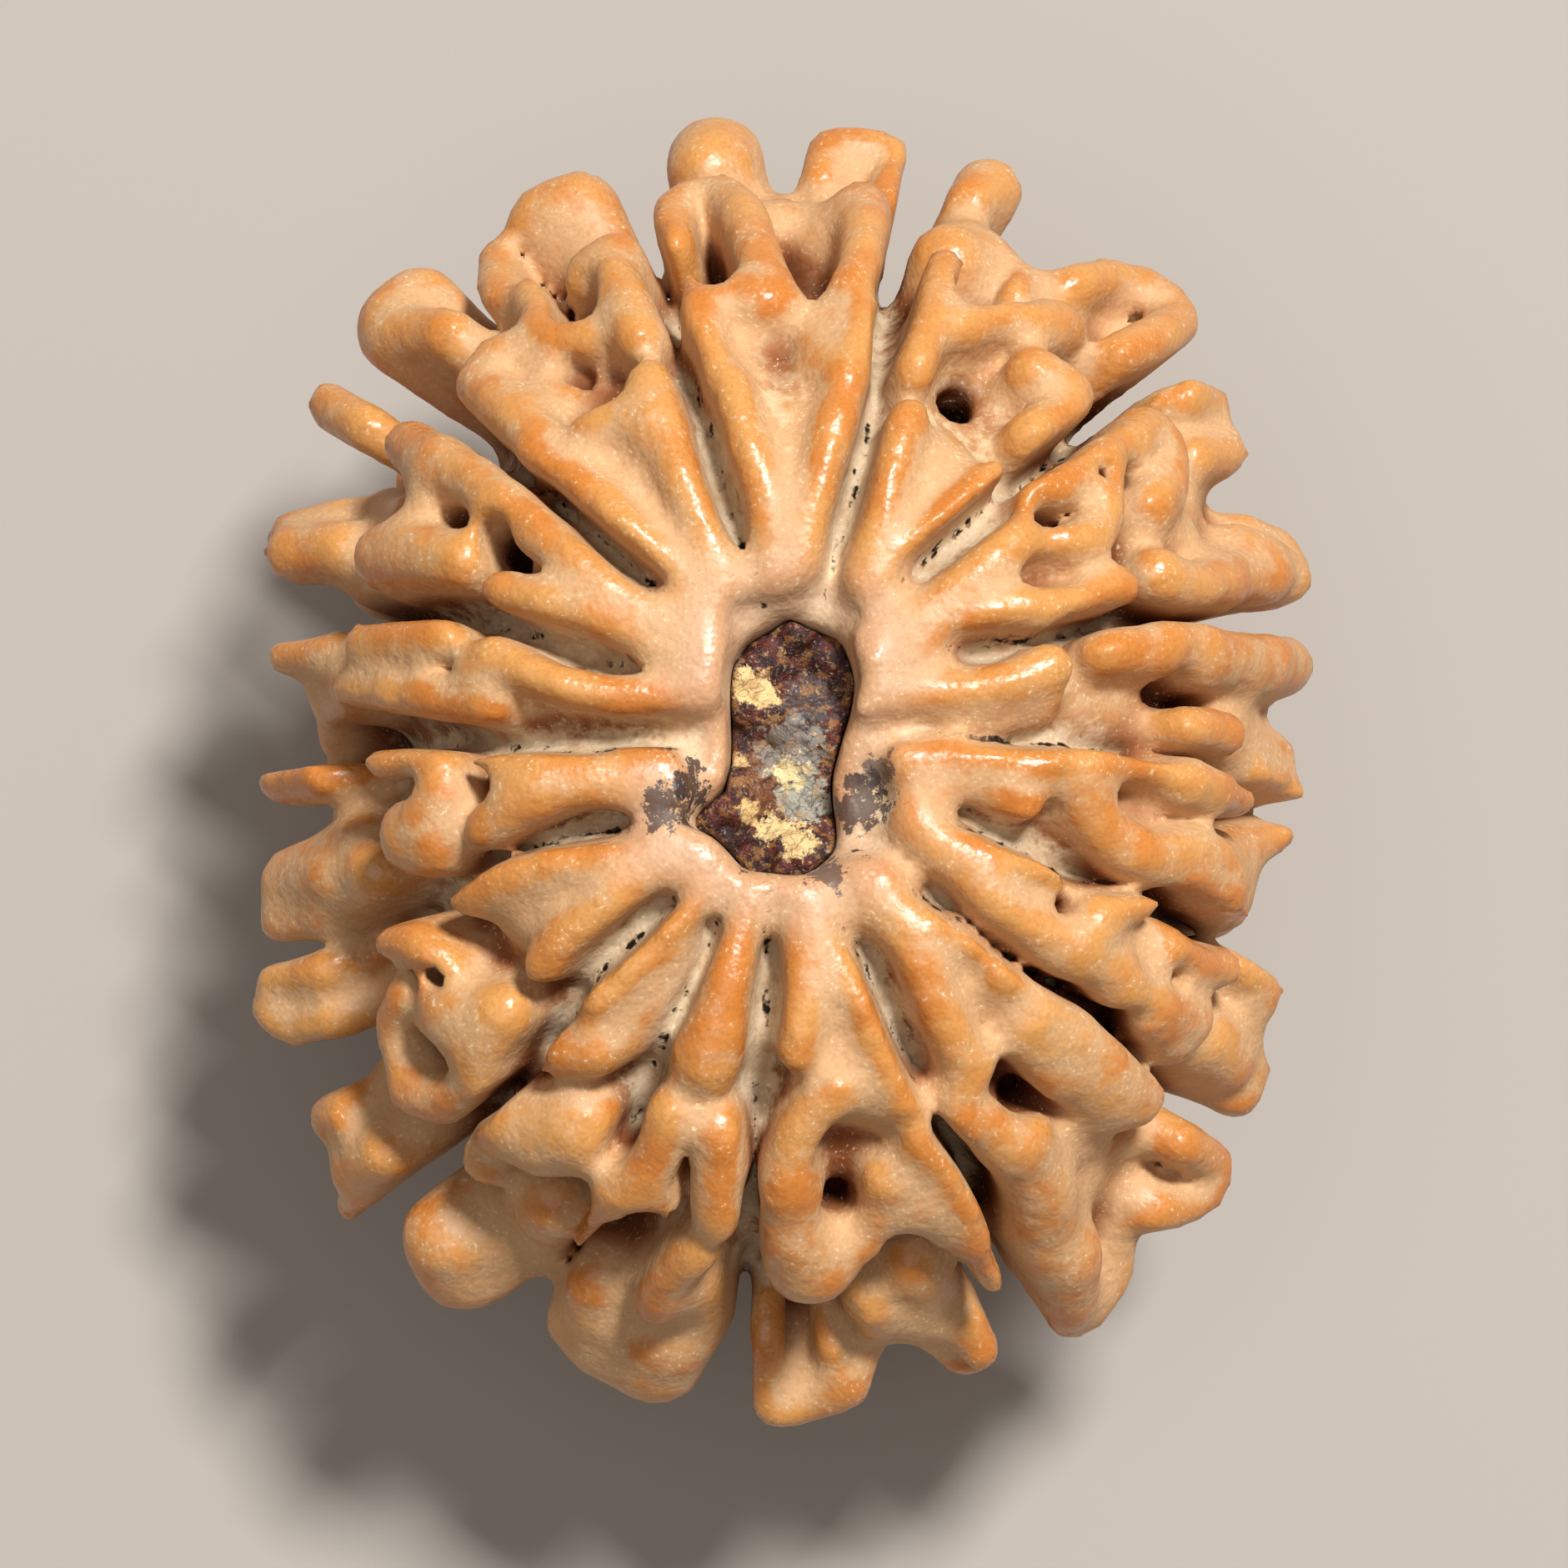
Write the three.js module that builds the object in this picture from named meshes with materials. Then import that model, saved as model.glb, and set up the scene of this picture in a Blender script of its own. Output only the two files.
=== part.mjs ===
// A fifteen-faced rudraksha seed: a ribbed woody stone with dried fruit pulp in its open pole.
// Millimetres. The open pole is up (+Z), the long axis runs along Y, and the seed stands on its closed pole.
import * as THREE from "three";

// Driving dimensions
const MIDDLE = 11.6;
const BODY = { x: 9.4, y: 12.2, z: 10.2 };
const CREST = { x: 12.9, y: 15.7, z: 11.3 };
const SEAM = { depth: 0.4, width: 0.75, poleShare: 0.5, reach: 5 };
const SEAM_CUT = { half: 0.3, lean: 0.05, leanTop: 1.5, close: 3.5, reach: 1.6, round: 0.25 };
const FACE_SWELL = { height: 0.5, width: 1.5 };
const BLEND = 0.28;
const RIB_TAPER = 0.1;
const GROWTH = { pole: 0.06, crown: 1.06, side: 1.08 };
const TONGUE = { plane: 12, spreadX: 1.025, spreadY: 1.02, shiftX: -0.3, knob: 1.1 };
const RIM_SINK = 1;
const BELT_SINK = 0.95;
const POLE_DIP = { depth: 1, inner: 3.2, outer: 6.8, fade: 4 };
const HOLLOW = { rim: 22.4, floor: 17, slope: 0.04, blend: 0.25 };
const PULP = { gap: 0.32, floor: 17.4, top: 19.8, lump: 0.4, spacing: 1.25 };
const SCAR = { x: 3.1, y: 3.7, top: 4 };
const FOOT_SNAP = 0.02;
const SLIVER = 0.16;
const MOST_TURN = 0.25;
const MOST_PASSES = 6;
const STONE_MESH = { step: 0.5, triangles: 11600 };
const PULP_MESH = { step: 0.34, triangles: 700 };

// Seams between the faces, from the open pole to the widest section, as x, y pairs seen from above
const SEAMS = [
  [-0.6, 3.3, -1.15, 4.75, -1.65, 5.9, -2.05, 7.9, -2.4, 9, -2.65, 10.1, -2.9, 11.2, -3.2, 12.2, -3.7, 13.6],
  [0.9, 3.3, 1.3, 4.75, 1.75, 6.3, 2.2, 8.1, 2.35, 9.5, 2.5, 11, 2.75, 12.4, 3.1, 13.8],
  [2.2, 3.1, 3.45, 4.45, 4.55, 5.35, 5.5, 6.25, 6.55, 7.1, 7.4, 7.8, 8.2, 8.5, 9.2, 9.4],
  [2.6, 1.6, 3.6, 2, 4.6, 2.35, 6.05, 2.5, 7.5, 2.85, 8.3, 3.15, 9.35, 3.25, 10.7, 3.4],
  [3.8, 0, 4.9, -0.1, 6.5, -0.15, 8.5, -0.1, 9.8, -0.25, 11, -0.5],
  [2.4, -1.5, 3.8, -2.15, 5.2, -2.5, 6.5, -2.95, 7.1, -3.45, 8, -3.55, 9.3, -3.6, 10.5, -3.9],
  [1.6, -2.85, 2.8, -3.7, 3.5, -4.2, 4.6, -4.75, 5.5, -5.4, 6.4, -6, 7.6, -6.4, 8.5, -7.1, 9.5, -7.9],
  [0.5, -3.5, 1.05, -4.4, 1.9, -5.6, 2.65, -7.3, 3.35, -8.7, 3.7, -9.5, 4.4, -10.3, 5, -11.3, 5.4, -12.5],
  [-0.5, -3.6, -0.55, -5, -0.55, -6.6, -0.7, -8.2, -0.9, -9.1, -0.85, -10.4, -0.9, -11.5, -1.1, -12.6, -1.3, -13.8],
  [-1.1, -3.4, -1.85, -4.85, -2.55, -6.35, -3.2, -7.5, -3.8, -8.6, -4.3, -9.9, -4.9, -11, -5.6, -12.2],
  [-2.1, -3.4, -3.6, -4.85, -4.9, -5.9, -5.8, -6.9, -6.7, -8.2, -7.6, -8.9, -8.5, -9.7, -9.1, -10.4],
  [-2.6, -2.1, -4, -2.45, -5.9, -2.55, -7.3, -2.9, -8.4, -3.5, -9.4, -3.95, -10.3, -4.2, -11.3, -4.4],
  [-3, -0.4, -4.3, -0.35, -6, -0.3, -7.5, -0.15, -8.6, 0.05, -9.6, 0.2, -11.4, 0.3],
  [-2, 1.4, -3.5, 1.8, -4.7, 2, -5.8, 2.3, -6.8, 2.75, -7.9, 3.2, -9, 3.4, -10.2, 3.5, -11.3, 3.6],
  [-2.1, 3, -3.4, 3.8, -4.6, 4.8, -5.8, 5.95, -6.8, 6.95, -7.8, 7.8, -9, 8.8],
];

// Mouth of the hollow in the open pole
const MOUTH = [
  0, 3.05, 0.6, 2.75, 1.3, 2.6, 1.5, 2.2, 1.75, 1.4, 1.6, 0.5, 1.4, 0, 1.15, -1, 1.2, -1.5, 1.3, -2.2, 1.2, -2.8,
  0.5, -3.4, 0, -3.45, -0.5, -3.3, -1.1, -3.35, -1.3, -3, -1.9, -2.4, -2.8, -2.2, -1.6, -1.2, -1.5, -0.5,
  -1.5, 1.2, -1.4, 2, -1, 2.5, -0.5, 2.75,
];

// Ribs round the open pole: radius at the inner end, at the outer end, lift of the crest, then x, y pairs
const POLE_RIBS = [
  [0.35, 0.65, 0, [-2.3, 3.4, -3.2, 4.3, -4.2, 5.2, -5.2, 6.1, -6.2, 6.75]],
  [0.35, 0.55, 0, [-1.6, 3.9, -2.2, 5.2, -2.7, 6.4, -3.1, 7.6, -3.5, 8.9]],
  [0.45, 0.45, 0, [-3.6, 7.7, -4, 7.9, -4.9, 7.7]],
  [0.35, 0.5, 0, [-0.4, 4, -0.45, 5, -0.6, 6, -0.95, 7, -1.3, 8, -1.4, 8.6]],
  [0.35, 0.5, 0, [0.35, 4.3, 0.5, 5.2, 0.75, 6, 1, 7, 1.2, 7.8]],
  [0.35, 0.5, 0, [2, 4, 2.15, 4.8, 2.4, 5.6, 2.6, 6.6, 2.85, 7.4, 3.05, 7.9]],
  [0.35, 0.5, 0, [2.3, 3.7, 3, 4.4, 3.8, 5.1, 4.5, 5.7, 5.15, 6.3]],
  [0.3, 0.5, 0, [1.9, 2.2, 3, 2.75, 3.93, 3.4, 4.9, 4.2, 5.7, 4.85]],
  [0.3, 0.55, 0, [2.2, 1.75, 3, 2.1, 4.1, 2.5, 4.9, 2.85, 5.7, 3.1]],
  [0.3, 0.5, 0, [1.9, 0.8, 3, 1, 4.6, 1.1, 5.5, 1.25, 6.5, 1.65]],
  [0.4, 0.4, -0.8, [5, 0.6, 6.6, 0.85]],
  [0.3, 0.5, 0, [3, -0.7, 3.7, -0.6, 5, -0.5, 6.4, -0.55]],
  [0.4, 0.4, -0.3, [3.6, -1.35, 4.6, -1.25, 5.5, -1.5, 5.95, -1.75]],
  [0.3, 0.5, 0, [3.4, -2.2, 3.9, -2.35, 5.4, -2.85, 6.75, -3.1]],
  [0.35, 0.55, 0, [3.2, -2.4, 4.4, -3.3, 5.2, -4.2, 6, -4.8, 7.1, -5.3, 8.1, -5.6]],
  [0.35, 0.5, 0, [2.4, -3.7, 3.25, -4.3, 4.55, -4.9, 5.5, -5.5, 5.35, -5.9]],
  [0.35, 0.55, 0, [1.8, -3.7, 2.3, -4.4, 3, -5, 3.4, -5.8, 3.75, -6.8, 4.2, -7.6, 4.55, -8.1]],
  [0.35, 0.55, 0, [0.6, -4.2, 1.2, -5.2, 1.7, -6.2, 2.1, -7, 2.5, -7.9, 2.95, -8.8]],
  [0.3, 0.45, 0, [0.1, -3.9, 0.3, -4.6, 0.4, -5.6, 0.4, -6.6, 0.3, -7.3, 0.2, -7.75]],
  [0.3, 0.85, 0, [-0.9, -3.9, -1.25, -5, -1.55, -6.2, -1.8, -7.2, -2.1, -8]],
  [0.35, 0.5, 0, [-1.9, -3.5, -2.9, -4.6, -3.9, -5.5, -4.8, -6.4]],
  [0.6, 0.6, 0, [-4.9, -7.75, -5.5, -7.75, -6, -7.6]],
  [0.3, 0.5, 0, [-2.1, -3, -3.1, -3.3, -4, -3.75, -4.9, -4.5, -5.6, -5, -6.1, -5.6]],
  [0.35, 0.7, 0, [-2.6, -2.5, -4, -2.85, -5.5, -3.05, -7, -3.4, -8, -3.65]],
  [0.3, 0.5, 0, [-3, -1.45, -4, -1.4, -5.2, -1.3, -6.1, -1.45]],
  [0.3, 0.5, 0, [-3.2, -0.75, -4.5, -0.85, -6, -0.7, -7.4, -0.5]],
  [0.45, 0.45, 0, [-6.8, -1.65, -7.3, -2.1, -7.5, -2.3]],
  [0.3, 0.5, 0, [-2.2, 0.9, -3, 0.95, -4.5, 0.95, -5.7, 1.2, -6.6, 1.65, -7.3, 2.05]],
  [0.45, 0.5, -0.2, [-7.9, 1.6, -7.5, 0.85, -8.2, 1, -9.2, 1.2]],
  [0.3, 0.5, 0, [-2.2, 1.6, -3.1, 2, -4, 2.45, -5, 2.9, -6, 3.25, -7.2, 3.6]],
  [0.3, 0.55, 0, [-2, 2.4, -3.1, 2.85, -4.4, 3.6, -5.3, 4.3, -6.2, 5.1, -7.1, 5.7]],
];

// Low shelves that join two ribs of one face
const SHELVES = [
  [0.5, 0.8, -0.8, [2.7, 5, 3.5, 6.3, 4.1, 7.1]],
  [0.5, 0.8, -0.8, [4.6, -3.2, 5.6, -3.8, 6.6, -4.3]],
  [0.5, 0.7, -0.8, [3, -4.7, 4, -5.6, 4.7, -6.2]],
  [0.5, 0.7, -0.7, [0.9, -5.4, 1.2, -6.6, 1.5, -7.6, 2.2, -9.2]],
  [0.4, 0.6, -0.9, [0, 5.4, 0, 6.8, 0, 8.1]],
  [0.5, 0.7, -1, [-3, 5.6, -3.9, 6.7, -4.4, 7.3]],
  [0.5, 0.8, -0.7, [-2.9, -5.6, -3.7, -6.7, -4.2, -7.2]],
  [0.5, 0.8, -0.8, [-4.6, -3.6, -5.8, -4.2, -6.9, -4.4]],
  [0.4, 0.4, -0.6, [-6.4, -1.1, -6.9, -1.3]],
  [0.4, 0.5, -0.9, [3.2, 2.55, 4.6, 3.3]],
  [0.4, 0.5, -1, [3.6, 0.7, 5, 0.8]],
];

// Folds and knobs further out on each face, in the same form as the ribs
const FOLDS = [
  // Faces at the far end
  [0.45, 0.45, 0, [-2.7, 11.6, -2.4, 10.8, -2.1, 9.9, -1.9, 9.3]],
  [0.45, 0.45, 0, [-2.2, 10.6, -1.4, 11.2, -0.9, 11]],
  [0.7, 0.7, -1, [-1.6, 10.4, -1.3, 9.4]],
  [0.6, 0.6, 0, [-3.1, 13, -3.1, 14, -2.6, 14.6, -1.8, 14.7, -1.2, 14, -0.9, 13, -0.6, 12, -0.3, 11.2]],
  [0.45, 0.75, 0, [1.6, 11.5, 1.9, 12.4, 2.05, 13.5, 1.95, 14.4]],
  [0.5, 0.5, 0, [2.05, 10.6, 1.75, 9.6, 1.5, 8.9]],
  [0.45, 0.45, -0.5, [1.2, 10.9, 0.8, 10.2, 0.9, 9.6]],
  [0.45, 0.5, 0, [4.05, 12.4, 3.85, 11.5, 3.6, 10.5, 3.35, 9.6, 3.2, 9.2]],
  [0.9, 0.8, -0.4, [4.5, 13.6, 5, 14, 5.5, 13.6]],
  [0.45, 0.45, 0, [4.4, 10.4, 5.35, 10.9, 6.2, 10.8]],
  [0.65, 0.65, 0, [6.3, 9.5, 7.3, 9, 6.9, 8.2, 6.2, 7.7]],
  [0.7, 0.7, 0, [6.7, 11, 7, 11.1]],
  [0.5, 0.5, -0.6, [6.1, 12.4, 6.6, 12.7, 7, 12.3]],
  // Faces at the right
  [0.5, 0.5, 0, [6.2, 6, 7, 6.45, 7.7, 6.8, 7.95, 6.2, 7.9, 5.5, 7.5, 5, 6.9, 4.95]],
  [0.6, 0.6, 0, [8.1, 7.3, 8.8, 7.9, 9.5, 8.2, 9.8, 7.7, 9.7, 6.9, 9.3, 6.2]],
  [0.4, 0.4, -0.3, [8.8, 9, 9.6, 9.4]],
  [0.6, 0.6, -0.8, [9.4, 5.8, 10.6, 6]],
  [0.6, 0.6, 0, [9.4, 4.4, 10.5, 4.2, 11.3, 4.5]],
  [0.5, 0.5, 0, [6.7, 3.15, 7.3, 3.35, 8, 3.7, 8.3, 3.8]],
  [0.6, 0.6, 0, [8, 2.2, 9.3, 2.35]],
  [0.4, 0.4, 0, [9.6, 2.6, 10.5, 2.6]],
  [0.7, 0.75, 0, [10.6, 2.4, 11.4, 2.5, 11.9, 2.5]],
  [0.7, 0.7, -1.5, [7.8, 1, 9, 1]],
  [0.5, 0.5, 0, [10, 0.5, 11.2, 0.45]],
  [0.5, 0.5, 0, [7.5, -0.5, 8.3, -0.45, 9.2, -0.55, 9.8, -0.75]],
  [0.4, 0.4, 0, [9.9, -0.95, 10.7, -0.9]],
  [0.6, 0.7, 0, [10.7, -0.9, 11.6, -0.8]],
  [0.55, 0.55, -0.2, [7.5, -1.2, 7.7, -1.8, 8.1, -2.3, 8.4, -2.5]],
  [0.5, 0.5, 0, [8.9, -2.8, 10, -2.55, 10.9, -2.7, 11.2, -3.2]],
  [0.6, 0.6, -1.4, [9, -1.7, 10.4, -1.8]],
  [0.55, 0.55, 0, [7.3, -4.9, 7.7, -4.4, 8.3, -3.95, 8.75, -3.85]],
  [0.55, 0.55, 0, [9.3, -4, 10.2, -3.8, 11.2, -4.1, 11.6, -4.5]],
  [0.5, 0.5, -0.8, [8.4, -5.2, 9.4, -5]],
  [0.45, 0.45, -0.2, [9.7, -5, 10.6, -5.4, 11.3, -5.3]],
  [0.55, 0.55, 0, [8.4, -6.1, 9.4, -6.4, 10.4, -6.7]],
  [0.45, 0.45, -0.3, [8.9, -7.2, 9.9, -7.6]],
  // Faces at the near end
  [0.75, 0.75, 0, [6.3, -6.8, 7.1, -7.3, 8.1, -8.1, 9, -8.7]],
  [0.6, 0.6, -0.2, [5.9, -7.2, 6.8, -8.2, 7.6, -8.5, 8.2, -9]],
  [0.6, 0.5, 0, [4.2, -9.2, 4.9, -9.5, 5.4, -10]],
  [0.8, 0.9, 0, [6, -10, 6.6, -11.2, 6.8, -12.3]],
  [0.8, 0.7, -1, [7.4, -10, 8, -10.1]],
  [0.5, 0.5, 0, [1.2, -8.7, 0.7, -9.1, 0.3, -9.6, 0, -10.3, 0, -10.7]],
  [0.8, 1.1, 0, [0, -11.3, 0.2, -12.4, 0.6, -13.2]],
  [0.6, 0.6, -0.3, [2.5, -11, 3.5, -11.5, 4.3, -12.2]],
  [0.6, 0.4, 0, [3.4, -9.9, 4.2, -10.6, 4.7, -11.6, 5, -12.5, 5.3, -13.1]],
  [0.45, 0.45, -0.5, [2, -12.6, 2.3, -12, 3, -11.8]],
  [0.6, 0.6, 0, [-1.6, -9.75, -1.75, -11.75]],
  [0.5, 0.5, 0, [-3, -9.2, -3.2, -10, -3.6, -10.7, -4, -11]],
  [0.35, 0.35, -0.3, [-4.3, -11.4, -3.3, -11.5]],
  [0.5, 0.5, -0.2, [-2.3, -12.7, -3, -13.3, -3.5, -14]],
  [0.4, 0.4, -0.2, [-4.6, -11, -5.3, -11.9, -5.8, -12.4]],
  [1.15, 1.15, 0, [-7.3, -9.4, -6.5, -9.8, -5.5, -9.7]],
  [0.6, 0.6, -0.4, [-8.3, -10.2, -8, -10.5]],
  // Faces at the left
  [0.7, 0.9, 0, [-7.2, -6.7, -8, -6.9, -8.6, -7]],
  [0.6, 0.6, 0, [-7.8, -7.6, -7.6, -7.2]],
  [0.5, 0.5, 0, [-10, -4.7, -9.3, -4.9, -8.7, -5.5, -8.6, -6.3]],
  [0.5, 0.5, -0.2, [-9.8, -6.1, -10.2, -6.8, -10, -7.5, -9.6, -8.2]],
  [0.55, 0.55, 0, [-9.6, -8.5, -8.8, -8.75, -7.8, -8.45]],
  [0.9, 0.9, 0, [-9.7, -2.3, -9, -2.4]],
  [0.5, 0.5, 0, [-10.2, -0.3, -9.3, -0.35, -8.7, -0.6, -8.6, -1.2, -9, -1.7]],
  [0.5, 0.5, 0, [-8.6, 2.6, -9.8, 2.7, -10.8, 2.75]],
  [0.4, 0.4, -0.2, [-10, 1.3, -11.4, 1.7]],
  [0.7, 0.8, 0, [-8.3, 4.6, -9.5, 4.9, -10.6, 5.1]],
  [0.5, 0.6, 0, [-7.3, 5.9, -8, 6.7, -8.8, 7.1]],
  [0.6, 0.65, 0, [-9, 7.4, -9.9, 8.1]],
  [0.4, 0.4, -0.4, [-9.6, 7.2, -9.5, 6.2, -9.9, 5.8]],
  [0.6, 0.6, 0, [-7.6, 10, -8, 9.4, -7.5, 8.8, -6.9, 8.2, -6.4, 7.6]],
  [0.9, 0.9, -0.8, [-6.4, 8.9, -6.3, 9.6]],
  [0.5, 0.5, -0.3, [-7.2, 10.3, -6.2, 10.6, -5.3, 10.4]],
  [0.45, 0.45, -0.2, [-6.4, 11, -6.8, 12]],
  [0.8, 0.85, 0, [-5.1, 12.5, -4.6, 12.8]],
  [0.55, 0.6, 0, [-4.5, 12, -4.1, 11.1, -3.8, 10.2]],
];

// Tongues and knobs that overhang the widest section: radii, then x, y, z of the middle line
const TONGUES = [
  [1.1, 1.1, [-1.6, 15, 13, -1.5, 15.3, 12.2]],
  [0.5, 0.6, [1.1, 14.7, 13.4, 1.4, 15.5, 12.6]],
  [0.5, 0.5, [2.7, 15.5, 12.8, 3.3, 15.4, 12.6, 3.5, 14.9, 13, 3.2, 13.9, 14]],
  [0.35, 0.35, [-0.2, 13.2, 15, 0.35, 13.5, 15, 0.6, 13.1, 15]],
  [0.6, 0.8, [4.8, 14.2, 13.4, 5.2, 14.6, 12.4]],
  [0.5, 0.5, [7.3, 11.8, 15, 8.2, 12.2, 13.6, 8.8, 12, 13]],
  [0.55, 0.55, [8.3, 9.9, 16, 9.4, 10.6, 14.6, 9.9, 11.1, 13.4, 9.7, 11.6, 12.8, 9.2, 11.9, 12.6]],
  [0.45, 0.45, [9.9, 9.3, 14.6, 10.6, 9.3, 13]],
  [0.5, 0.55, [10.2, 7.5, 14.8, 11, 7.9, 13.2]],
  [0.6, 0.6, [11, 4.5, 15.2, 12, 4.8, 13.6]],
  [0.6, 0.6, [11.2, 5.4, 14, 12.2, 5.2, 12.6, 12.6, 4.9, 12.2]],
  [0.55, 0.55, [11.5, 6.1, 11.8, 12.4, 5.8, 11, 12.7, 5.2, 11]],
  [0.75, 0.7, [11.8, 2.5, 14.6, 12.5, 2.7, 12.4]],
  [0.5, 0.45, [11.2, 0.35, 14.4, 12.3, 0.4, 12.4]],
  [0.65, 0.65, [11.6, -0.8, 14.4, 12.4, -0.85, 12.6]],
  [0.5, 0.5, [11, -1.9, 13.6, 12, -1.5, 12.4, 12.4, -1.2, 12]],
  [0.5, 0.5, [11.4, -4.3, 14, 12, -4.8, 12.8]],
  [0.45, 0.45, [10.6, -6.3, 13.6, 11.4, -5.9, 12.4]],
  [0.55, 0.55, [10.4, -6.7, 14.2, 11, -7.2, 13]],
  [0.7, 0.7, [10.9, -7.2, 12, 11.2, -7.8, 11.6, 10.9, -8.3, 11.6]],
  [0.6, 0.55, [7.9, -11.4, 12.8, 7.8, -12.6, 12, 7.2, -13.4, 11.8, 6.5, -13.6, 12]],
  [0.9, 0.8, [6.8, -12, 14.6, 6.8, -12.9, 13]],
  [0.55, 0.55, [9.9, -8.9, 14.4, 10.8, -9.3, 12.6, 10.7, -9.9, 12.4, 10.2, -10.3, 12.6, 9.4, -10.5, 13.4]],
  [0.45, 0.45, [4.6, -13.5, 13.2, 5, -14.2, 12.6]],
  [0.5, 0.45, [3.9, -13.6, 11.6, 4.6, -14.4, 11, 5, -14.1, 11]],
  [0.5, 0.5, [2, -13, 14.6, 3.6, -13.4, 13.4]],
  [0.55, 0.6, [-0.7, -13.8, 13.2, -0.8, -14.9, 12, -0.3, -15.5, 11.8, 0.6, -15.3, 11.8, 1.2, -15, 12]],
  [0.45, 0.45, [1.4, -14, 13, 2, -13.9, 12.6, 1.7, -14.7, 12.4]],
  [1, 0.8, [-2.6, -13.8, 13, -2.7, -14.5, 12]],
  [0.5, 0.5, [-3.4, -13.8, 13.4, -3.4, -14.6, 12.2]],
  [0.9, 0.8, [-4.4, -12.4, 14, -4.4, -13.3, 12.8, -4.3, -13.9, 12]],
  [0.5, 0.5, [-6.2, -12.6, 12.6, -5.6, -13.2, 12.2, -4.9, -13.5, 12]],
  [1.1, 1, [-8.3, -11, 13.4, -8, -11.7, 12.4]],
  [0.45, 0.4, [-6.7, -11.6, 13.6, -6.7, -12.3, 12.6]],
  [0.7, 0.6, [-9.4, -9.4, 14, -10.2, -9.8, 12.6]],
  [0.6, 0.6, [-9.8, -10.4, 12, -10, -10.8, 11.4]],
  [0.55, 0.5, [-10.4, -8.4, 13.4, -10.9, -8.5, 12.4]],
  [0.5, 0.5, [-11, -4.9, 13.4, -12.2, -4.9, 12.2]],
  [0.5, 0.5, [-10.9, -5.9, 13, -11.9, -5.9, 12, -12.4, -5.5, 11.8]],
  [0.8, 0.8, [-10.9, 0, 14.4, -12, 0.1, 12.4]],
  [0.8, 0.75, [-10.6, -2.6, 14.2, -11.8, -2.6, 12.2]],
  [0.45, 0.4, [-10.8, -3.9, 13.4, -12.2, -3.9, 12]],
  [0.45, 0.45, [-10.8, 3.5, 14, -12, 3.6, 12.6]],
  [0.45, 0.4, [-10, 1.6, 14, -11, 1.8, 12.6]],
  [0.65, 0.6, [-10.6, 5.4, 14, -11.9, 5.4, 12.8]],
  [0.65, 0.6, [-10.7, 6.2, 12.4, -11.9, 6, 11.6]],
  [0.6, 0.6, [-10, 8.4, 14, -10.9, 9.2, 12.6]],
  [0.65, 0.6, [-8.2, 10.3, 14.8, -9.2, 10.5, 13.6, -9.6, 10.4, 13]],
  [1, 0.95, [-9.5, 11, 12.4, -9, 11.5, 12]],
  [0.45, 0.45, [-6.7, 11.4, 15, -6.9, 12.3, 13.6, -6.9, 12.8, 12.8]],
  [0.95, 0.9, [-5.6, 13.8, 12.8, -4.9, 14, 13]],
  [0.5, 0.5, [-3.9, 13.3, 13.4, -4.1, 14.6, 12]],
];

// Pits and gaps: x, y, radius and depth below the crests
const PITS = [
  [-2.15, 12.75, 0.45, 2], [-1.95, 11.9, 0.35, 1.6], [4.9, 11.8, 0.5, 4.5], [5, 9.65, 0.6, 3.6], [6.6, 5.6, 0.4, 1.8],
  [8.9, 7.1, 0.35, 1.8], [8.1, 6.85, 0.2, 1.6], [8.9, 11.5, 0.3, 3], [7.2, -4.3, 0.3, 2.2], [8.85, -6.95, 0.3, 2],
  [10.2, -5.75, 0.28, 2.4], [6.4, -9.15, 0.4, 2.4], [9.2, -9.8, 0.4, 2.8], [1.3, -12, 0.35, 2.4], [0.4, -14.5, 0.4, 3],
  [-3.8, -12, 0.25, 2.4], [-9.1, -5.85, 0.35, 2.4], [-9.1, -7.75, 0.35, 2.2], [-7.85, -1.15, 0.35, 2.4],
  [-9.9, -1, 0.35, 2.4], [-7.5, 5.2, 0.5, 2.8], [-5.7, 11.7, 0.65, 3.4], [-5.7, 9.9, 0.4, 1.5], [4.7, -1.9, 0.3, 1.8],
];

// Flanks and underside: the same folds on each face, chosen by a seeded draw. Each line gives a fold as pairs
// of the way down from the widest section (0, less above it) to the closed pole (1) and the place across the
// face (-1 to 1).
const SEED = 108;
const POLE_PAIR = [[0.82, -0.34, 0.72, -0.4, 0.6, -0.42], [0.82, 0.34, 0.7, 0.4, 0.58, 0.46]];
const FLANK_FOLDS = [
  [[0.54, -0.5, 0.46, -0.6, 0.38, -0.4, 0.36, 0, 0.4, 0.35], [0.52, 0.4, 0.46, 0.2]],
  [[0.56, 0.35, 0.46, 0.5, 0.36, 0.5, 0.3, 0.2], [0.52, -0.35, 0.42, -0.5, 0.32, -0.5]],
  [[0.52, -0.2, 0.44, -0.5, 0.36, -0.3, 0.36, 0.3, 0.44, 0.5, 0.52, 0.2, 0.52, -0.2]],
  [[0.52, -0.5, 0.44, 0, 0.5, 0.5], [0.4, -0.5, 0.32, -0.1, 0.36, 0.5]],
];
const RIM_FOLDS = [
  [[0.26, -0.5, 0.16, -0.55, 0.06, -0.4], [0.26, 0.45, 0.14, 0.5, 0.04, 0.45]],
  [[0.24, -0.5, 0.2, 0, 0.24, 0.5], [0.12, -0.5, 0.07, 0, 0.12, 0.5]],
  [[0.28, 0.1, 0.18, -0.4, 0.08, -0.5], [0.18, 0.5, 0.1, 0.3, 0.04, 0.5]],
  [[0.26, 0.5, 0.16, 0.45, 0.1, 0, 0.16, -0.5, 0.24, -0.5]],
];
const BELT_PAIR = [[-0.26, -0.42, -0.1, -0.52, 0.08, -0.4], [-0.24, 0.4, -0.08, 0.52, 0.1, 0.42], [-0.2, 0, -0.02, 0.08]];
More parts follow.
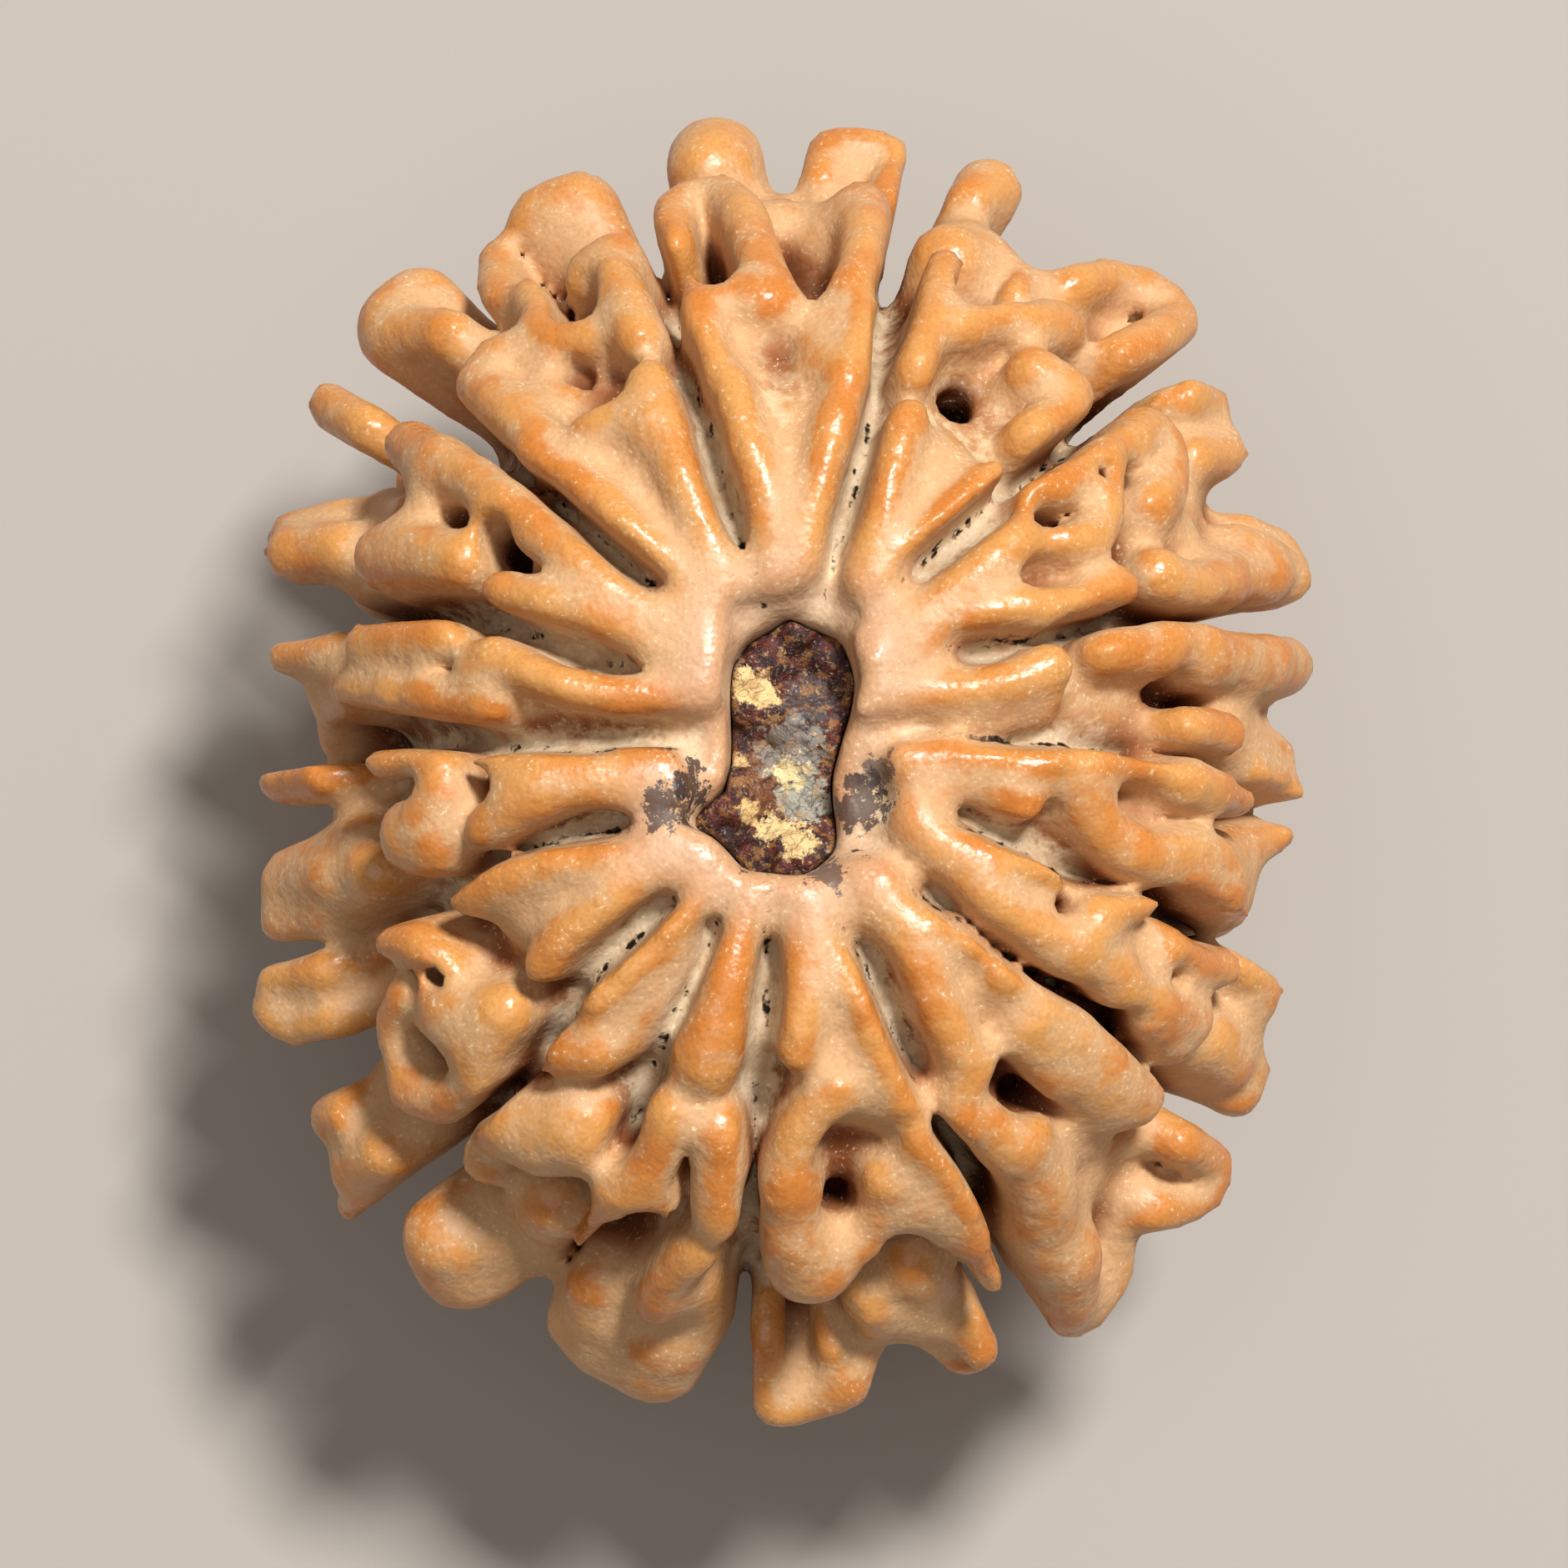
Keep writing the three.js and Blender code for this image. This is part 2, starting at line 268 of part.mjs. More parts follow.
const FLANK_RADIUS = { pole: [0.42, 0.6], flank: [0.5, 0.72], rim: [0.55, 0.8] };

const clamp = (value, low, high) => Math.min(high, Math.max(low, value));
const smooth = (value) => value * value * (3 - 2 * value);

function seededDraw(seed) {
  let state = seed;
  return () => {
    state = (state * 48271) % 2147483647;
    return state / 2147483647;
  };
}

// Outward direction of the seed's form at a point
function outward(x, y, z) {
  const gx = x / CREST.x ** 2;
  const gy = y / CREST.y ** 2;
  const gz = (z - MIDDLE) / CREST.z ** 2;
  const length = Math.hypot(gx, gy, gz) || 1;
  return [gx / length, gy / length, gz / length];
}

function crestHeight(x, y) {
  const left = 1 - (x / CREST.x) ** 2 - (y / CREST.y) ** 2;
  return MIDDLE + CREST.z * Math.sqrt(Math.max(0, left));
}

// A share that grows from 0 at the rim of the mouth to 1 at a distance from it
function awayFromPole(x, y, reach) {
  return smooth(clamp((Math.hypot(x, y * CREST.x / CREST.y) - POLE_DIP.inner) / reach, 0, 1));
}

// How far the crown sinks towards the mouth of the hollow
function poleDip(x, y) {
  return POLE_DIP.depth * (1 - awayFromPole(x, y, POLE_DIP.outer - POLE_DIP.inner));
}

// A middle line under the crests, from x, y pairs on the crown
function crownLine([startRadius, endRadius, lift, plan], growth) {
  const count = plan.length / 2;
  const first = startRadius + growth;
  return Array.from({ length: count }, (_, i) => {
    const radius = GROWTH.crown * (first + ((endRadius - first) * i) / Math.max(1, count - 1));
    const [x, y] = [plan[2 * i], plan[2 * i + 1]];
    const z = crestHeight(x, y);
    const [nx, ny, nz] = outward(x, y, z);
    const down = radius + poleDip(x, y) - lift;
    return { x: x - nx * down, y: y - ny * down, z: z - nz * down, r: radius };
  });
}

function tongueLine([startRadius, endRadius, points]) {
  const count = points.length / 3;
  const line = Array.from({ length: count }, (_, i) => ({
    x: points[3 * i] * TONGUE.spreadX + TONGUE.shiftX,
    y: points[3 * i + 1] * TONGUE.spreadY,
    z: points[3 * i + 2] - TONGUE.plane + MIDDLE,
    r: GROWTH.side * (startRadius + ((endRadius - startRadius) * i) / Math.max(1, count - 1)),
  }));
  line[count - 1].r *= TONGUE.knob;
  return line;
}

// A point on the underside: turn is its angle round the seed, down its way from the widest section to the pole
function undersidePoint(turn, down, sink) {
  const tilt = (down * Math.PI) / 2;
  const x = CREST.x * Math.cos(tilt) * Math.cos(turn);
  const y = CREST.y * Math.cos(tilt) * Math.sin(turn);
  const z = MIDDLE - CREST.z * Math.sin(tilt);
  const [nx, ny, nz] = outward(x, y, z);
  return { x: x - nx * sink, y: y - ny * sink, z: z - nz * sink, r: 0 };
}

// The angle at which a seam crosses the widest section
function seamTurn(seam) {
  return Math.atan2(seam[seam.length - 1] / CREST.y, seam[seam.length - 2] / CREST.x);
}

function seamLine(seam, index) {
  const line = [];
  for (let i = 0; i < seam.length; i += 2) {
    line.push({ x: seam[i], y: seam[i + 1], z: crestHeight(seam[i], seam[i + 1]), r: 0 });
  }
  for (let down = 0.06; down < 0.9; down += 0.12) {
    line.push(undersidePoint(seamTurn(seam) + 0.03 * Math.sin(9 * down + index), down, 0));
  }
  return line;
}

function undersideLines() {
  const draw = seededDraw(SEED);
  const lines = [];
  SEAMS.forEach((seam, index) => {
    const first = seamTurn(seam);
    let width = first - seamTurn(SEAMS[(index + 1) % SEAMS.length]);
    if (width < 0) width += 2 * Math.PI;
    const addFold = (fold, [thin, thick], sink) => {
      const radius = GROWTH.side * (thin + (thick - thin) * draw());
      const mirror = draw() < 0.5 ? -1 : 1;
      const shift = 0.03 * (draw() - 0.5);
      const line = [];
      for (let i = 0; i < fold.length; i += 2) {
        const turn = first - width * (0.5 + 0.5 * mirror * fold[i + 1]);
        line.push({ ...undersidePoint(turn, fold[i] + shift, radius + 0.25 * draw() + sink), r: radius });
      }
      lines.push(line);
    };
    POLE_PAIR.forEach((fold) => addFold(fold, FLANK_RADIUS.pole, 0));
    FLANK_FOLDS[Math.floor(draw() * FLANK_FOLDS.length)].forEach((fold) => addFold(fold, FLANK_RADIUS.flank, 0));
    RIM_FOLDS[Math.floor(draw() * RIM_FOLDS.length)].forEach((fold) => addFold(fold, FLANK_RADIUS.rim, RIM_SINK));
    BELT_PAIR.forEach((fold) => addFold(fold, FLANK_RADIUS.flank, BELT_SINK));
  });
  return lines;
}

// Distance from a point to a chain of round cones. Below the middle line the chain is drawn out towards the body
// by the factor inward, so that it stands on the body as a rib; outward does the same above it.
function chainDistance(line, x, y, z, normal, inward, outwardShare) {
  let best = Infinity;
  for (let i = 0; i + 1 < line.length; i += 1) {
    const a = line[i];
    const b = line[i + 1];
    const [dx, dy, dz] = [b.x - a.x, b.y - a.y, b.z - a.z];
    const along = clamp(((x - a.x) * dx + (y - a.y) * dy + (z - a.z) * dz) / (dx * dx + dy * dy + dz * dz), 0, 1);
    let [ex, ey, ez] = [x - a.x - along * dx, y - a.y - along * dy, z - a.z - along * dz];
    const rise = ex * normal[0] + ey * normal[1] + ez * normal[2];
    const taken = rise * (rise < 0 ? 1 - inward : 1 - outwardShare);
    ex -= taken * normal[0];
    ey -= taken * normal[1];
    ez -= taken * normal[2];
    best = Math.min(best, Math.hypot(ex, ey, ez) - a.r - along * (b.r - a.r));
  }
  return best;
}

// Signed distance in plan to a closed outline, negative inside
function outlineDistance(outline, x, y) {
  let nearest = Infinity;
  let inside = false;
  for (let i = 0, j = outline.length - 2; i < outline.length; j = i, i += 2) {
    const [ax, ay, bx, by] = [outline[i], outline[i + 1], outline[j], outline[j + 1]];
    const along = clamp(((x - ax) * (bx - ax) + (y - ay) * (by - ay)) / ((bx - ax) ** 2 + (by - ay) ** 2), 0, 1);
    nearest = Math.min(nearest, Math.hypot(x - ax - along * (bx - ax), y - ay - along * (by - ay)));
    if (ay > y !== by > y && x < ((bx - ax) * (y - ay)) / (by - ay) + ax) inside = !inside;
  }
  return inside ? -nearest : nearest;
}

function smoothMax(a, b, width) {
  const mix = clamp(0.5 + (0.5 * (a - b)) / width, 0, 1);
  return b + (a - b) * mix + width * mix * (1 - mix);
}

function hollowDistance(x, y, z) {
  const side = outlineDistance(MOUTH, x, y) + HOLLOW.slope * (HOLLOW.rim - z);
  return Math.max(side, HOLLOW.floor - z);
}

// A regular grid of field values
class Grid {
  constructor(low, high, step) {
    this.low = low;
    this.step = step;
    this.size = low.map((value, axis) => Math.ceil((high[axis] - value) / step) + 1);
    this.values = new Float64Array(this.size[0] * this.size[1] * this.size[2]);
  }

  at(i, j, k) {
    return (k * this.size[1] + j) * this.size[0] + i;
  }

  point(i, j, k) {
    return [this.low[0] + i * this.step, this.low[1] + j * this.step, this.low[2] + k * this.step];
  }

  // Visits the grid points in a box
  visit(low, high, action) {
    const [from, to] = [[], []];
    for (let axis = 0; axis < 3; axis += 1) {
      from[axis] = clamp(Math.floor((low[axis] - this.low[axis]) / this.step), 0, this.size[axis] - 1);
      to[axis] = clamp(Math.ceil((high[axis] - this.low[axis]) / this.step), 0, this.size[axis] - 1);
    }
    for (let k = from[2]; k <= to[2]; k += 1) {
      for (let j = from[1]; j <= to[1]; j += 1) {
        for (let i = from[0]; i <= to[0]; i += 1) action(this.at(i, j, k), ...this.point(i, j, k));
      }
    }
  }

  visitAll(action) {
    this.visit(this.low, this.low.map((value, axis) => value + this.size[axis] * this.step), action);
  }

  // Visits the points near a line, and the points between it and the body
  visitNear(line, reach, depth, action) {
    const low = [Infinity, Infinity, Infinity];
    const high = [-Infinity, -Infinity, -Infinity];
    for (const p of line) {
      const [nx, ny, nz] = outward(p.x, p.y, p.z);
      [[p.x, nx], [p.y, ny], [p.z, nz]].forEach(([value, n], axis) => {
        low[axis] = Math.min(low[axis], value - p.r - reach, value - n * depth - p.r - reach);
        high[axis] = Math.max(high[axis], value + p.r + reach, value - n * depth + p.r + reach);
      });
    }
    this.visit(low, high, action);
  }
}

// How far each point is from the nearest seam across the surface, and the number of the seam before its face
function seamGrids(grid) {
  const away = new Float64Array(grid.values.length).fill(3);
  const face = new Int8Array(grid.values.length).fill(-1);
  SEAMS.map(seamLine).forEach((line, index) => {
    for (let i = 0; i + 1 < line.length; i += 1) {
      const [start, end] = [line[i], line[i + 1]];
      const [wx, wy, wz] = [end.x - start.x, end.y - start.y, end.z - start.z];
      grid.visitNear([start, end], 2.4, 4.5, (at, x, y, z) => {
        const normal = outward(x, y, z);
        const near = chainDistance([start, end], x, y, z, normal, 0, 0);
        if (near >= away[at]) return;
        const [px, py, pz] = [x - start.x, y - start.y, z - start.z];
        const across = [wy * pz - wz * py, wz * px - wx * pz, wx * py - wy * px];
        const side = normal[0] * across[0] + normal[1] * across[1] + normal[2] * across[2];
        away[at] = near;
        face[at] = side > 0 ? (index + SEAMS.length - 1) % SEAMS.length : index;
      });
    }
  });
  return { away, face };
}

// The face on which most of a line lies, or -1 where no seam is near
function ownFace(grid, face, line) {
  const counts = new Array(SEAMS.length).fill(0);
  for (const p of line) {
    const place = [p.x, p.y, p.z].map((value, axis) =>
      clamp(Math.round((value - grid.low[axis]) / grid.step), 0, grid.size[axis] - 1),
    );
    const found = face[grid.at(...place)];
    if (found >= 0) counts[found] += 1;
  }
  const most = Math.max(...counts);
  return most > 0 ? counts.indexOf(most) : -1;
}

function stoneField() {
  const margin = 1.4;
  const half = [CREST.x + margin, CREST.y + margin];
  const grid = new Grid([-half[0], -half[1], -0.28], [half[0], half[1], MIDDLE + CREST.z + margin], STONE_MESH.step);
  const seam = seamGrids(grid);
  const body = new Float64Array(grid.values.length);
  const total = new Float64Array(grid.values.length);
  grid.visitAll((at, x, y, z) => {
    const scale = Math.hypot(x / BODY.x, y / BODY.y, (z - MIDDLE) / BODY.z);
    const slope = Math.hypot(x / BODY.x ** 2, y / BODY.y ** 2, (z - MIDDLE) / BODY.z ** 2) / scale;
    const away = SEAM.poleShare + (1 - SEAM.poleShare) * awayFromPole(x, y, SEAM.reach);
    const valley = SEAM.depth * away * Math.exp(-((seam.away[at] / SEAM.width) ** 2));
    const swell = FACE_SWELL.height * (1 - Math.exp(-((seam.away[at] / FACE_SWELL.width) ** 2)));
    const dip = poleDip(x, y) * smooth(clamp((z - MIDDLE) / POLE_DIP.fade, 0, 1));
    body[at] = scale > 0 ? (scale - 1) / slope + valley - swell + dip : -BODY.z;
    const scar = Math.max((Math.hypot(x / SCAR.x, y / SCAR.y) - 1) * SCAR.x, z - SCAR.top);
    total[at] = Math.exp(-clamp(body[at], -6, 6) / BLEND) + Math.exp(-clamp(scar, -6, 6) / BLEND);
  });
  const ribs = POLE_RIBS.map((rib) => crownLine(rib, GROWTH.pole));
  const folds = [...SHELVES, ...FOLDS].map((fold) => crownLine(fold, 0));
  const lines = [...ribs, ...folds, ...TONGUES.map(tongueLine), ...undersideLines()];
  for (const line of lines) {
    const own = ownFace(grid, seam.face, line);
    grid.visitNear(line, 1.3, 3.2, (at, x, y, z) => {
      const beyond = seam.face[at] >= 0 && seam.face[at] !== own;
      const width = SEAM_CUT.half + SEAM_CUT.lean * clamp(body[at], 0, SEAM_CUT.leanTop);
      const floor = body[at] - SEAM_CUT.close * (1 - awayFromPole(x, y, SEAM_CUT.reach));
      const cut = Math.min(width + (beyond ? seam.away[at] : -seam.away[at]), floor);
      const away = smoothMax(chainDistance(line, x, y, z, outward(x, y, z), RIB_TAPER, 1), cut, SEAM_CUT.round);
      if (away < 1.5) total[at] += Math.exp(-Math.max(away, -6) / BLEND);
    });
  }
  grid.visitAll((at, x, y, z) => {
    const solid = -BLEND * Math.log(total[at]);
    grid.values[at] = smoothMax(solid, -hollowDistance(x, y, z), HOLLOW.blend);
  });
  for (const [x, y, radius, depth] of PITS) {
    const z = crestHeight(x, y);
    const [nx, ny, nz] = outward(x, y, z);
    const line = [{ x, y, z: z + 1, r: radius }, { x: x - nx * depth, y: y - ny * depth, z: z - nz * depth, r: radius }];
    grid.visitNear(line, 0.8, 0, (at, px, py, pz) => {
      const pit = chainDistance(line, px, py, pz, [0, 0, 1], 1, 1);
      grid.values[at] = smoothMax(grid.values[at], -pit, BLEND);
    });
  }
  grid.visitAll((at, x, y, z) => {
    grid.values[at] = Math.max(grid.values[at], -z);
  });
  return grid;
}

function pulpField() {
  const grid = new Grid([-3.4, -4, PULP.floor - 0.6], [2.4, 3.6, PULP.top + 1.2], PULP_MESH.step);
  grid.visitAll((at, x, y, z) => {
    const lumps = Math.sin((x * 2.1) / PULP.spacing + 0.7) * Math.cos((y * 2.6) / PULP.spacing);
    const top = z - PULP.top - PULP.lump * lumps;
    const side = hollowDistance(x, y, z) + PULP.gap;
    grid.values[at] = Math.max(smoothMax(side, top, 0.3), PULP.floor - z);
  });
  return grid;
}

// The closed surface where the field is zero, by tetrahedra that share the grid's diagonals
function extractSurface(grid) {
  const corners = Array.from({ length: 8 }, (_, c) => [c & 1, (c >> 1) & 1, (c >> 2) & 1]);
  const tetrahedra = [[0, 1, 3, 7], [0, 3, 2, 7], [0, 2, 6, 7], [0, 6, 4, 7], [0, 4, 5, 7], [0, 5, 1, 7]];
  const nearZero = 0.04 * grid.step;
  const values = grid.values.map((value) => (Math.abs(value) < nearZero ? (value < 0 ? -nearZero : nearZero) : value));
  const known = new Map();
  const vertices = [];
  const faces = [];
  const [nx, ny, nz] = grid.size;
  const place = (a, b) => {
    const key = a.at < b.at ? a.at * 8 + (a.c ^ b.c) : b.at * 8 + (a.c ^ b.c);
    if (!known.has(key)) {
      const share = a.value / (a.value - b.value);
      known.set(key, vertices.length);
      vertices.push(a.p.map((value, axis) => value + share * (b.p[axis] - value)));
    }
    return known.get(key);
  };
  const addFace = (face, inner, outer) => {
    const [a, b, c] = face.map((v) => new THREE.Vector3(...vertices[v]));
    const across = new THREE.Vector3(...outer.p).sub(new THREE.Vector3(...inner.p));
    const facing = b.sub(a).cross(c.sub(a)).dot(across);
    faces.push(facing > 0 ? face : [face[0], face[2], face[1]]);
  };
  for (let k = 0; k + 1 < nz; k += 1) {
    for (let j = 0; j + 1 < ny; j += 1) {
      for (let i = 0; i + 1 < nx; i += 1) {
        const cube = corners.map(([a, b, c], index) => {
          const at = grid.at(i + a, j + b, k + c);
          return { at, c: index, value: values[at], p: grid.point(i + a, j + b, k + c) };
        });
        if (cube.every((corner) => corner.value < 0) || cube.every((corner) => corner.value > 0)) continue;
        for (const tetrahedron of tetrahedra) {
          const inner = tetrahedron.map((c) => cube[c]).filter((corner) => corner.value < 0);
          const outer = tetrahedron.map((c) => cube[c]).filter((corner) => corner.value > 0);
          if (inner.length === 1) addFace(outer.map((corner) => place(inner[0], corner)), inner[0], outer[0]);
          if (inner.length === 3) addFace(inner.map((corner) => place(corner, outer[0])), inner[0], outer[0]);
          if (inner.length === 2) {
            const [a, b, c, d] = [[0, 0], [0, 1], [1, 1], [1, 0]].map(([m, n]) => place(inner[m], outer[n]));
            addFace([a, b, c], inner[0], outer[0]);
            addFace([a, c, d], inner[0], outer[0]);
          }
        }
      }
    }
  }
  return largestBody(vertices, faces);
}

// Keeps the largest connected body
function largestBody(vertices, faces) {
  const parent = vertices.map((_, i) => i);
  const root = (i) => {
    while (parent[i] !== i) {
      parent[i] = parent[parent[i]];
      i = parent[i];
    }
    return i;
  };
  for (const [a, b, c] of faces) {
    parent[root(a)] = root(b);
    parent[root(b)] = root(c);
  }
  const count = new Map();
  for (const [a] of faces) count.set(root(a), (count.get(root(a)) || 0) + 1);
  const [largest] = [...count.entries()].sort((a, b) => b[1] - a[1])[0];
  return { vertices, faces: faces.filter(([a]) => root(a) === largest) };
}

// A list that gives back its cheapest entry first
class CheapestFirst {
  constructor() {
    this.items = [];
  }

  push(item) {
    const { items } = this;
    let at = items.push(item) - 1;
    while (at > 0) {
      const up = (at - 1) >> 1;
      if (items[up].cost <= items[at].cost) break;
      [items[up], items[at]] = [items[at], items[up]];
      at = up;
    }
  }

  pop() {
    const { items } = this;
    const top = items[0];
    const last = items.pop();
    if (items.length > 0) {
      items[0] = last;
      let at = 0;
      for (;;) {
        let low = 2 * at + 1;
        if (low >= items.length) break;
        if (low + 1 < items.length && items[low + 1].cost < items[low].cost) low += 1;
        if (items[at].cost <= items[low].cost) break;
        [items[at], items[low]] = [items[low], items[at]];
        at = low;
      }
    }
    return top;
  }
}

// Merges vertices edge by edge, the flattest places first, until few enough triangles are left
class Simplifier {
  constructor({ vertices, faces }) {
    this.points = vertices;
    this.faces = faces.map((face) => [...face]);
    this.around = vertices.map(() => new Set());
    this.faces.forEach((face, index) => face.forEach((v) => this.around[v].add(index)));
    this.stamp = new Int32Array(vertices.length);
    this.planes = vertices.map(() => new Float64Array(10));
    this.left = faces.length;
    this.sliver = SLIVER;
    for (const face of this.faces) this.addPlane(face);
  }

  normal([a, b, c]) {
    const [p, q, r] = [this.points[a], this.points[b], this.points[c]];
    const [ux, uy, uz] = [q[0] - p[0], q[1] - p[1], q[2] - p[2]];
    const [vx, vy, vz] = [r[0] - p[0], r[1] - p[1], r[2] - p[2]];
    return [uy * vz - uz * vy, uz * vx - ux * vz, ux * vy - uy * vx];
  }

  addPlane(face) {
    const n = this.normal(face);
    const size = Math.hypot(...n) || 1e-12;
    const [a, b, c] = n.map((value) => value / size);
    const p = this.points[face[0]];
    const d = -(a * p[0] + b * p[1] + c * p[2]);
    const plane = [a * a, a * b, a * c, a * d, b * b, b * c, b * d, c * c, c * d, d * d];
    for (const v of face) plane.forEach((value, i) => (this.planes[v][i] += value * size));
  }

  error(q, [x, y, z]) {
    const first = q[0] * x * x + 2 * q[1] * x * y + 2 * q[2] * x * z + 2 * q[3] * x + q[4] * y * y;
    return first + 2 * q[5] * y * z + 2 * q[6] * y + q[7] * z * z + 2 * q[8] * z + q[9];
  }

  // Twice the area of a triangle against its longest side squared
  shape(face) {
    const [p, q, r] = face.map((v) => this.points[v]);
    const side = (u, v) => (u[0] - v[0]) ** 2 + (u[1] - v[1]) ** 2 + (u[2] - v[2]) ** 2;
    return Math.hypot(...this.normal(face)) / Math.max(side(p, q), side(q, r), side(r, p), 1e-12);
  }

  candidate(a, b) {
    const q = this.planes[a].map((value, i) => value + this.planes[b][i]);
    const [p, r] = [this.points[a], this.points[b]];
    const middle = p.map((value, axis) => (value + r[axis]) / 2);
    const places = [middle, p, r];
    const e = [q[0], q[1], q[2], q[1], q[4], q[5], q[2], q[5], q[7]];
    const matrix = new THREE.Matrix3().set(...e);
    const size = q[0] + q[4] + q[7];
    if (Math.abs(matrix.determinant()) > 1e-4 * size ** 3) {
      const best = new THREE.Vector3(-q[3], -q[6], -q[8]).applyMatrix3(matrix.invert());
      if (best.distanceTo(new THREE.Vector3(...middle)) < 1) places.push(best.toArray());
    }
    let [to, cost] = [middle, Infinity];
    for (const at of places) {
      const now = this.error(q, at);
      if (now < cost) [to, cost] = [at, now];
    }
    const length = Math.hypot(p[0] - r[0], p[1] - r[1], p[2] - r[2]);
    return { a, b, to, cost: cost + 2e-4 * length * length, sa: this.stamp[a], sb: this.stamp[b] };
  }

  neighbours(v) {
    const found = new Set();
    for (const index of this.around[v]) this.faces[index].forEach((other) => other !== v && found.add(other));
    return found;
  }

  // A merge may not turn a triangle over, make a sliver or pinch the surface
  allowed({ a, b, to }) {
    const [near, far] = [this.neighbours(a), this.neighbours(b)];
    let shared = 0;
    for (const v of near) if (far.has(v)) shared += 1;
    if (shared !== 2 || near.size + far.size - 2 > 14) return false;
    for (const v of [a, b]) {
      const kept = this.points[v];
      for (const index of this.around[v]) {
        const face = this.faces[index];
        if (face.includes(a) && face.includes(b)) continue;
        const [before, shapeBefore] = [this.normal(face), this.shape(face)];
        this.points[v] = to;
        const [after, shapeAfter] = [this.normal(face), this.shape(face)];
        this.points[v] = kept;
        const sizes = Math.hypot(...before) * Math.hypot(...after);
        const turned = before[0] * after[0] + before[1] * after[1] + before[2] * after[2];
        if (turned < MOST_TURN * sizes || shapeAfter < Math.min(this.sliver, shapeBefore)) return false;
      }
    }
    return true;
  }

  merge({ a, b, to }) {
    for (const index of [...this.around[b]]) {
      const face = this.faces[index];
      if (face.includes(a)) {
        face.forEach((v) => this.around[v].delete(index));
        this.faces[index] = null;
        this.left -= 1;
      } else {
        face[face.indexOf(b)] = a;
        this.around[a].add(index);
      }
    }
    this.around[b].clear();
    this.points[a] = to;
    this.planes[b].forEach((value, i) => (this.planes[a][i] += value));
    this.stamp[a] += 1;
    this.stamp[b] += 1;
  }

  everyEdge() {
    const queue = new CheapestFirst();
    const edges = new Set();
    for (const face of this.faces) {
      if (!face) continue;
      face.forEach((from, i) => {
        const to = face[(i + 1) % 3];
        const key = Math.min(from, to) * this.points.length + Math.max(from, to);
        if (!edges.has(key)) queue.push(this.candidate(from, to));
        edges.add(key);
      });
    }
    return queue;
  }

  run(target) {
    for (let pass = 0; pass < MOST_PASSES && this.left > target; pass += 1) {
      this.sliver = SLIVER * 0.6 ** pass;
      const queue = this.everyEdge();
      while (this.left > target && queue.items.length > 0) {
        const next = queue.pop();
        const stale = next.sa !== this.stamp[next.a] || next.sb !== this.stamp[next.b];
        if (stale || this.around[next.a].size === 0 || !this.allowed(next)) continue;
        this.merge(next);
        for (const v of this.neighbours(next.a)) queue.push(this.candidate(next.a, v));
      }
    }
    return this.faces.filter((face) => face);
  }

  // Lays the foot exactly on the surface that the seed stands on
  levelFoot() {
    for (const point of this.points) if (Math.abs(point[2]) < FOOT_SNAP) point[2] = 0;
  }
}

function makeGeometry(grid, triangles) {
  const simplifier = new Simplifier(extractSurface(grid));
  const faces = simplifier.run(triangles);
  simplifier.levelFoot();
  const numbers = new Map();
  const positions = [];
  const index = faces.flat().map((v) => {
    if (!numbers.has(v)) {
      numbers.set(v, numbers.size);
      positions.push(...simplifier.points[v]);
    }
    return numbers.get(v);
  });
  const geometry = new THREE.BufferGeometry();
  geometry.setAttribute("position", new THREE.Float32BufferAttribute(positions, 3));
  geometry.setIndex(index);
  geometry.computeVertexNormals();
  return geometry;
}

function makePiece(name, geometry, color, roughness) {
  const material = new THREE.MeshStandardMaterial({ color, roughness, metalness: 0 });
  const mesh = new THREE.Mesh(geometry, material);
  mesh.name = name;
  return mesh;
}

const seed = new THREE.Group();
seed.add(makePiece("stone", makeGeometry(stoneField(), STONE_MESH.triangles), 0xd08c4c, 0.55));
seed.add(makePiece("dried_pulp", makeGeometry(pulpField(), PULP_MESH.triangles), 0x3a1814, 0.4));

export default seed;
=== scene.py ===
"""A fifteen-faced rudraksha seed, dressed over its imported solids.

The woody stone and the dried pulp in its open pole are each made again as a fine mesh from the same named
places as the solids: a body with seams, ribs and folds raised on it, and pits sunk into it. Lengths are in
millimetres until a mesh is written, which is in metres.
"""

from __future__ import annotations

import logging
import math
from dataclasses import dataclass, field
from enum import Enum
from typing import Sequence

import bpy
import numpy as np
import openvdb
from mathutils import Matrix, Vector


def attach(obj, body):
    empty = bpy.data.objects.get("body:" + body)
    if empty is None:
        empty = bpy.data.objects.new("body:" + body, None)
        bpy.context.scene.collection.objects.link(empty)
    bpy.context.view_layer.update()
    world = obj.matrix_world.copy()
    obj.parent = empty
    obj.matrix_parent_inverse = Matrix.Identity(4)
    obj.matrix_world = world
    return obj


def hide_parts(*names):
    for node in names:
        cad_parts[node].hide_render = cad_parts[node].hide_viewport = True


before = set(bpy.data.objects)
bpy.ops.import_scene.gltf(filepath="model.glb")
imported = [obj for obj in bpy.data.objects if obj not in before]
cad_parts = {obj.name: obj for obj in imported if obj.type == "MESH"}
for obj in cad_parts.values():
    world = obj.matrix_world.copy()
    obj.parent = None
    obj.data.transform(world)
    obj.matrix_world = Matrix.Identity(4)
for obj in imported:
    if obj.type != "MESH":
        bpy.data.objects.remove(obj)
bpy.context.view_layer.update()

log = logging.getLogger("rudraksha")

Line = np.ndarray
Values = np.ndarray
Socket = bpy.types.NodeSocket
Colour = tuple[float, float, float, float]
Band = tuple[float, float]

MM = 0.001
MIDDLE = 11.6
BODY = np.array([9.4, 12.2, 10.2])
CREST = np.array([12.9, 15.7, 11.3])
FAR = 3.0
DRAW_FACTOR = 48271
DRAW_RANGE = 2147483647

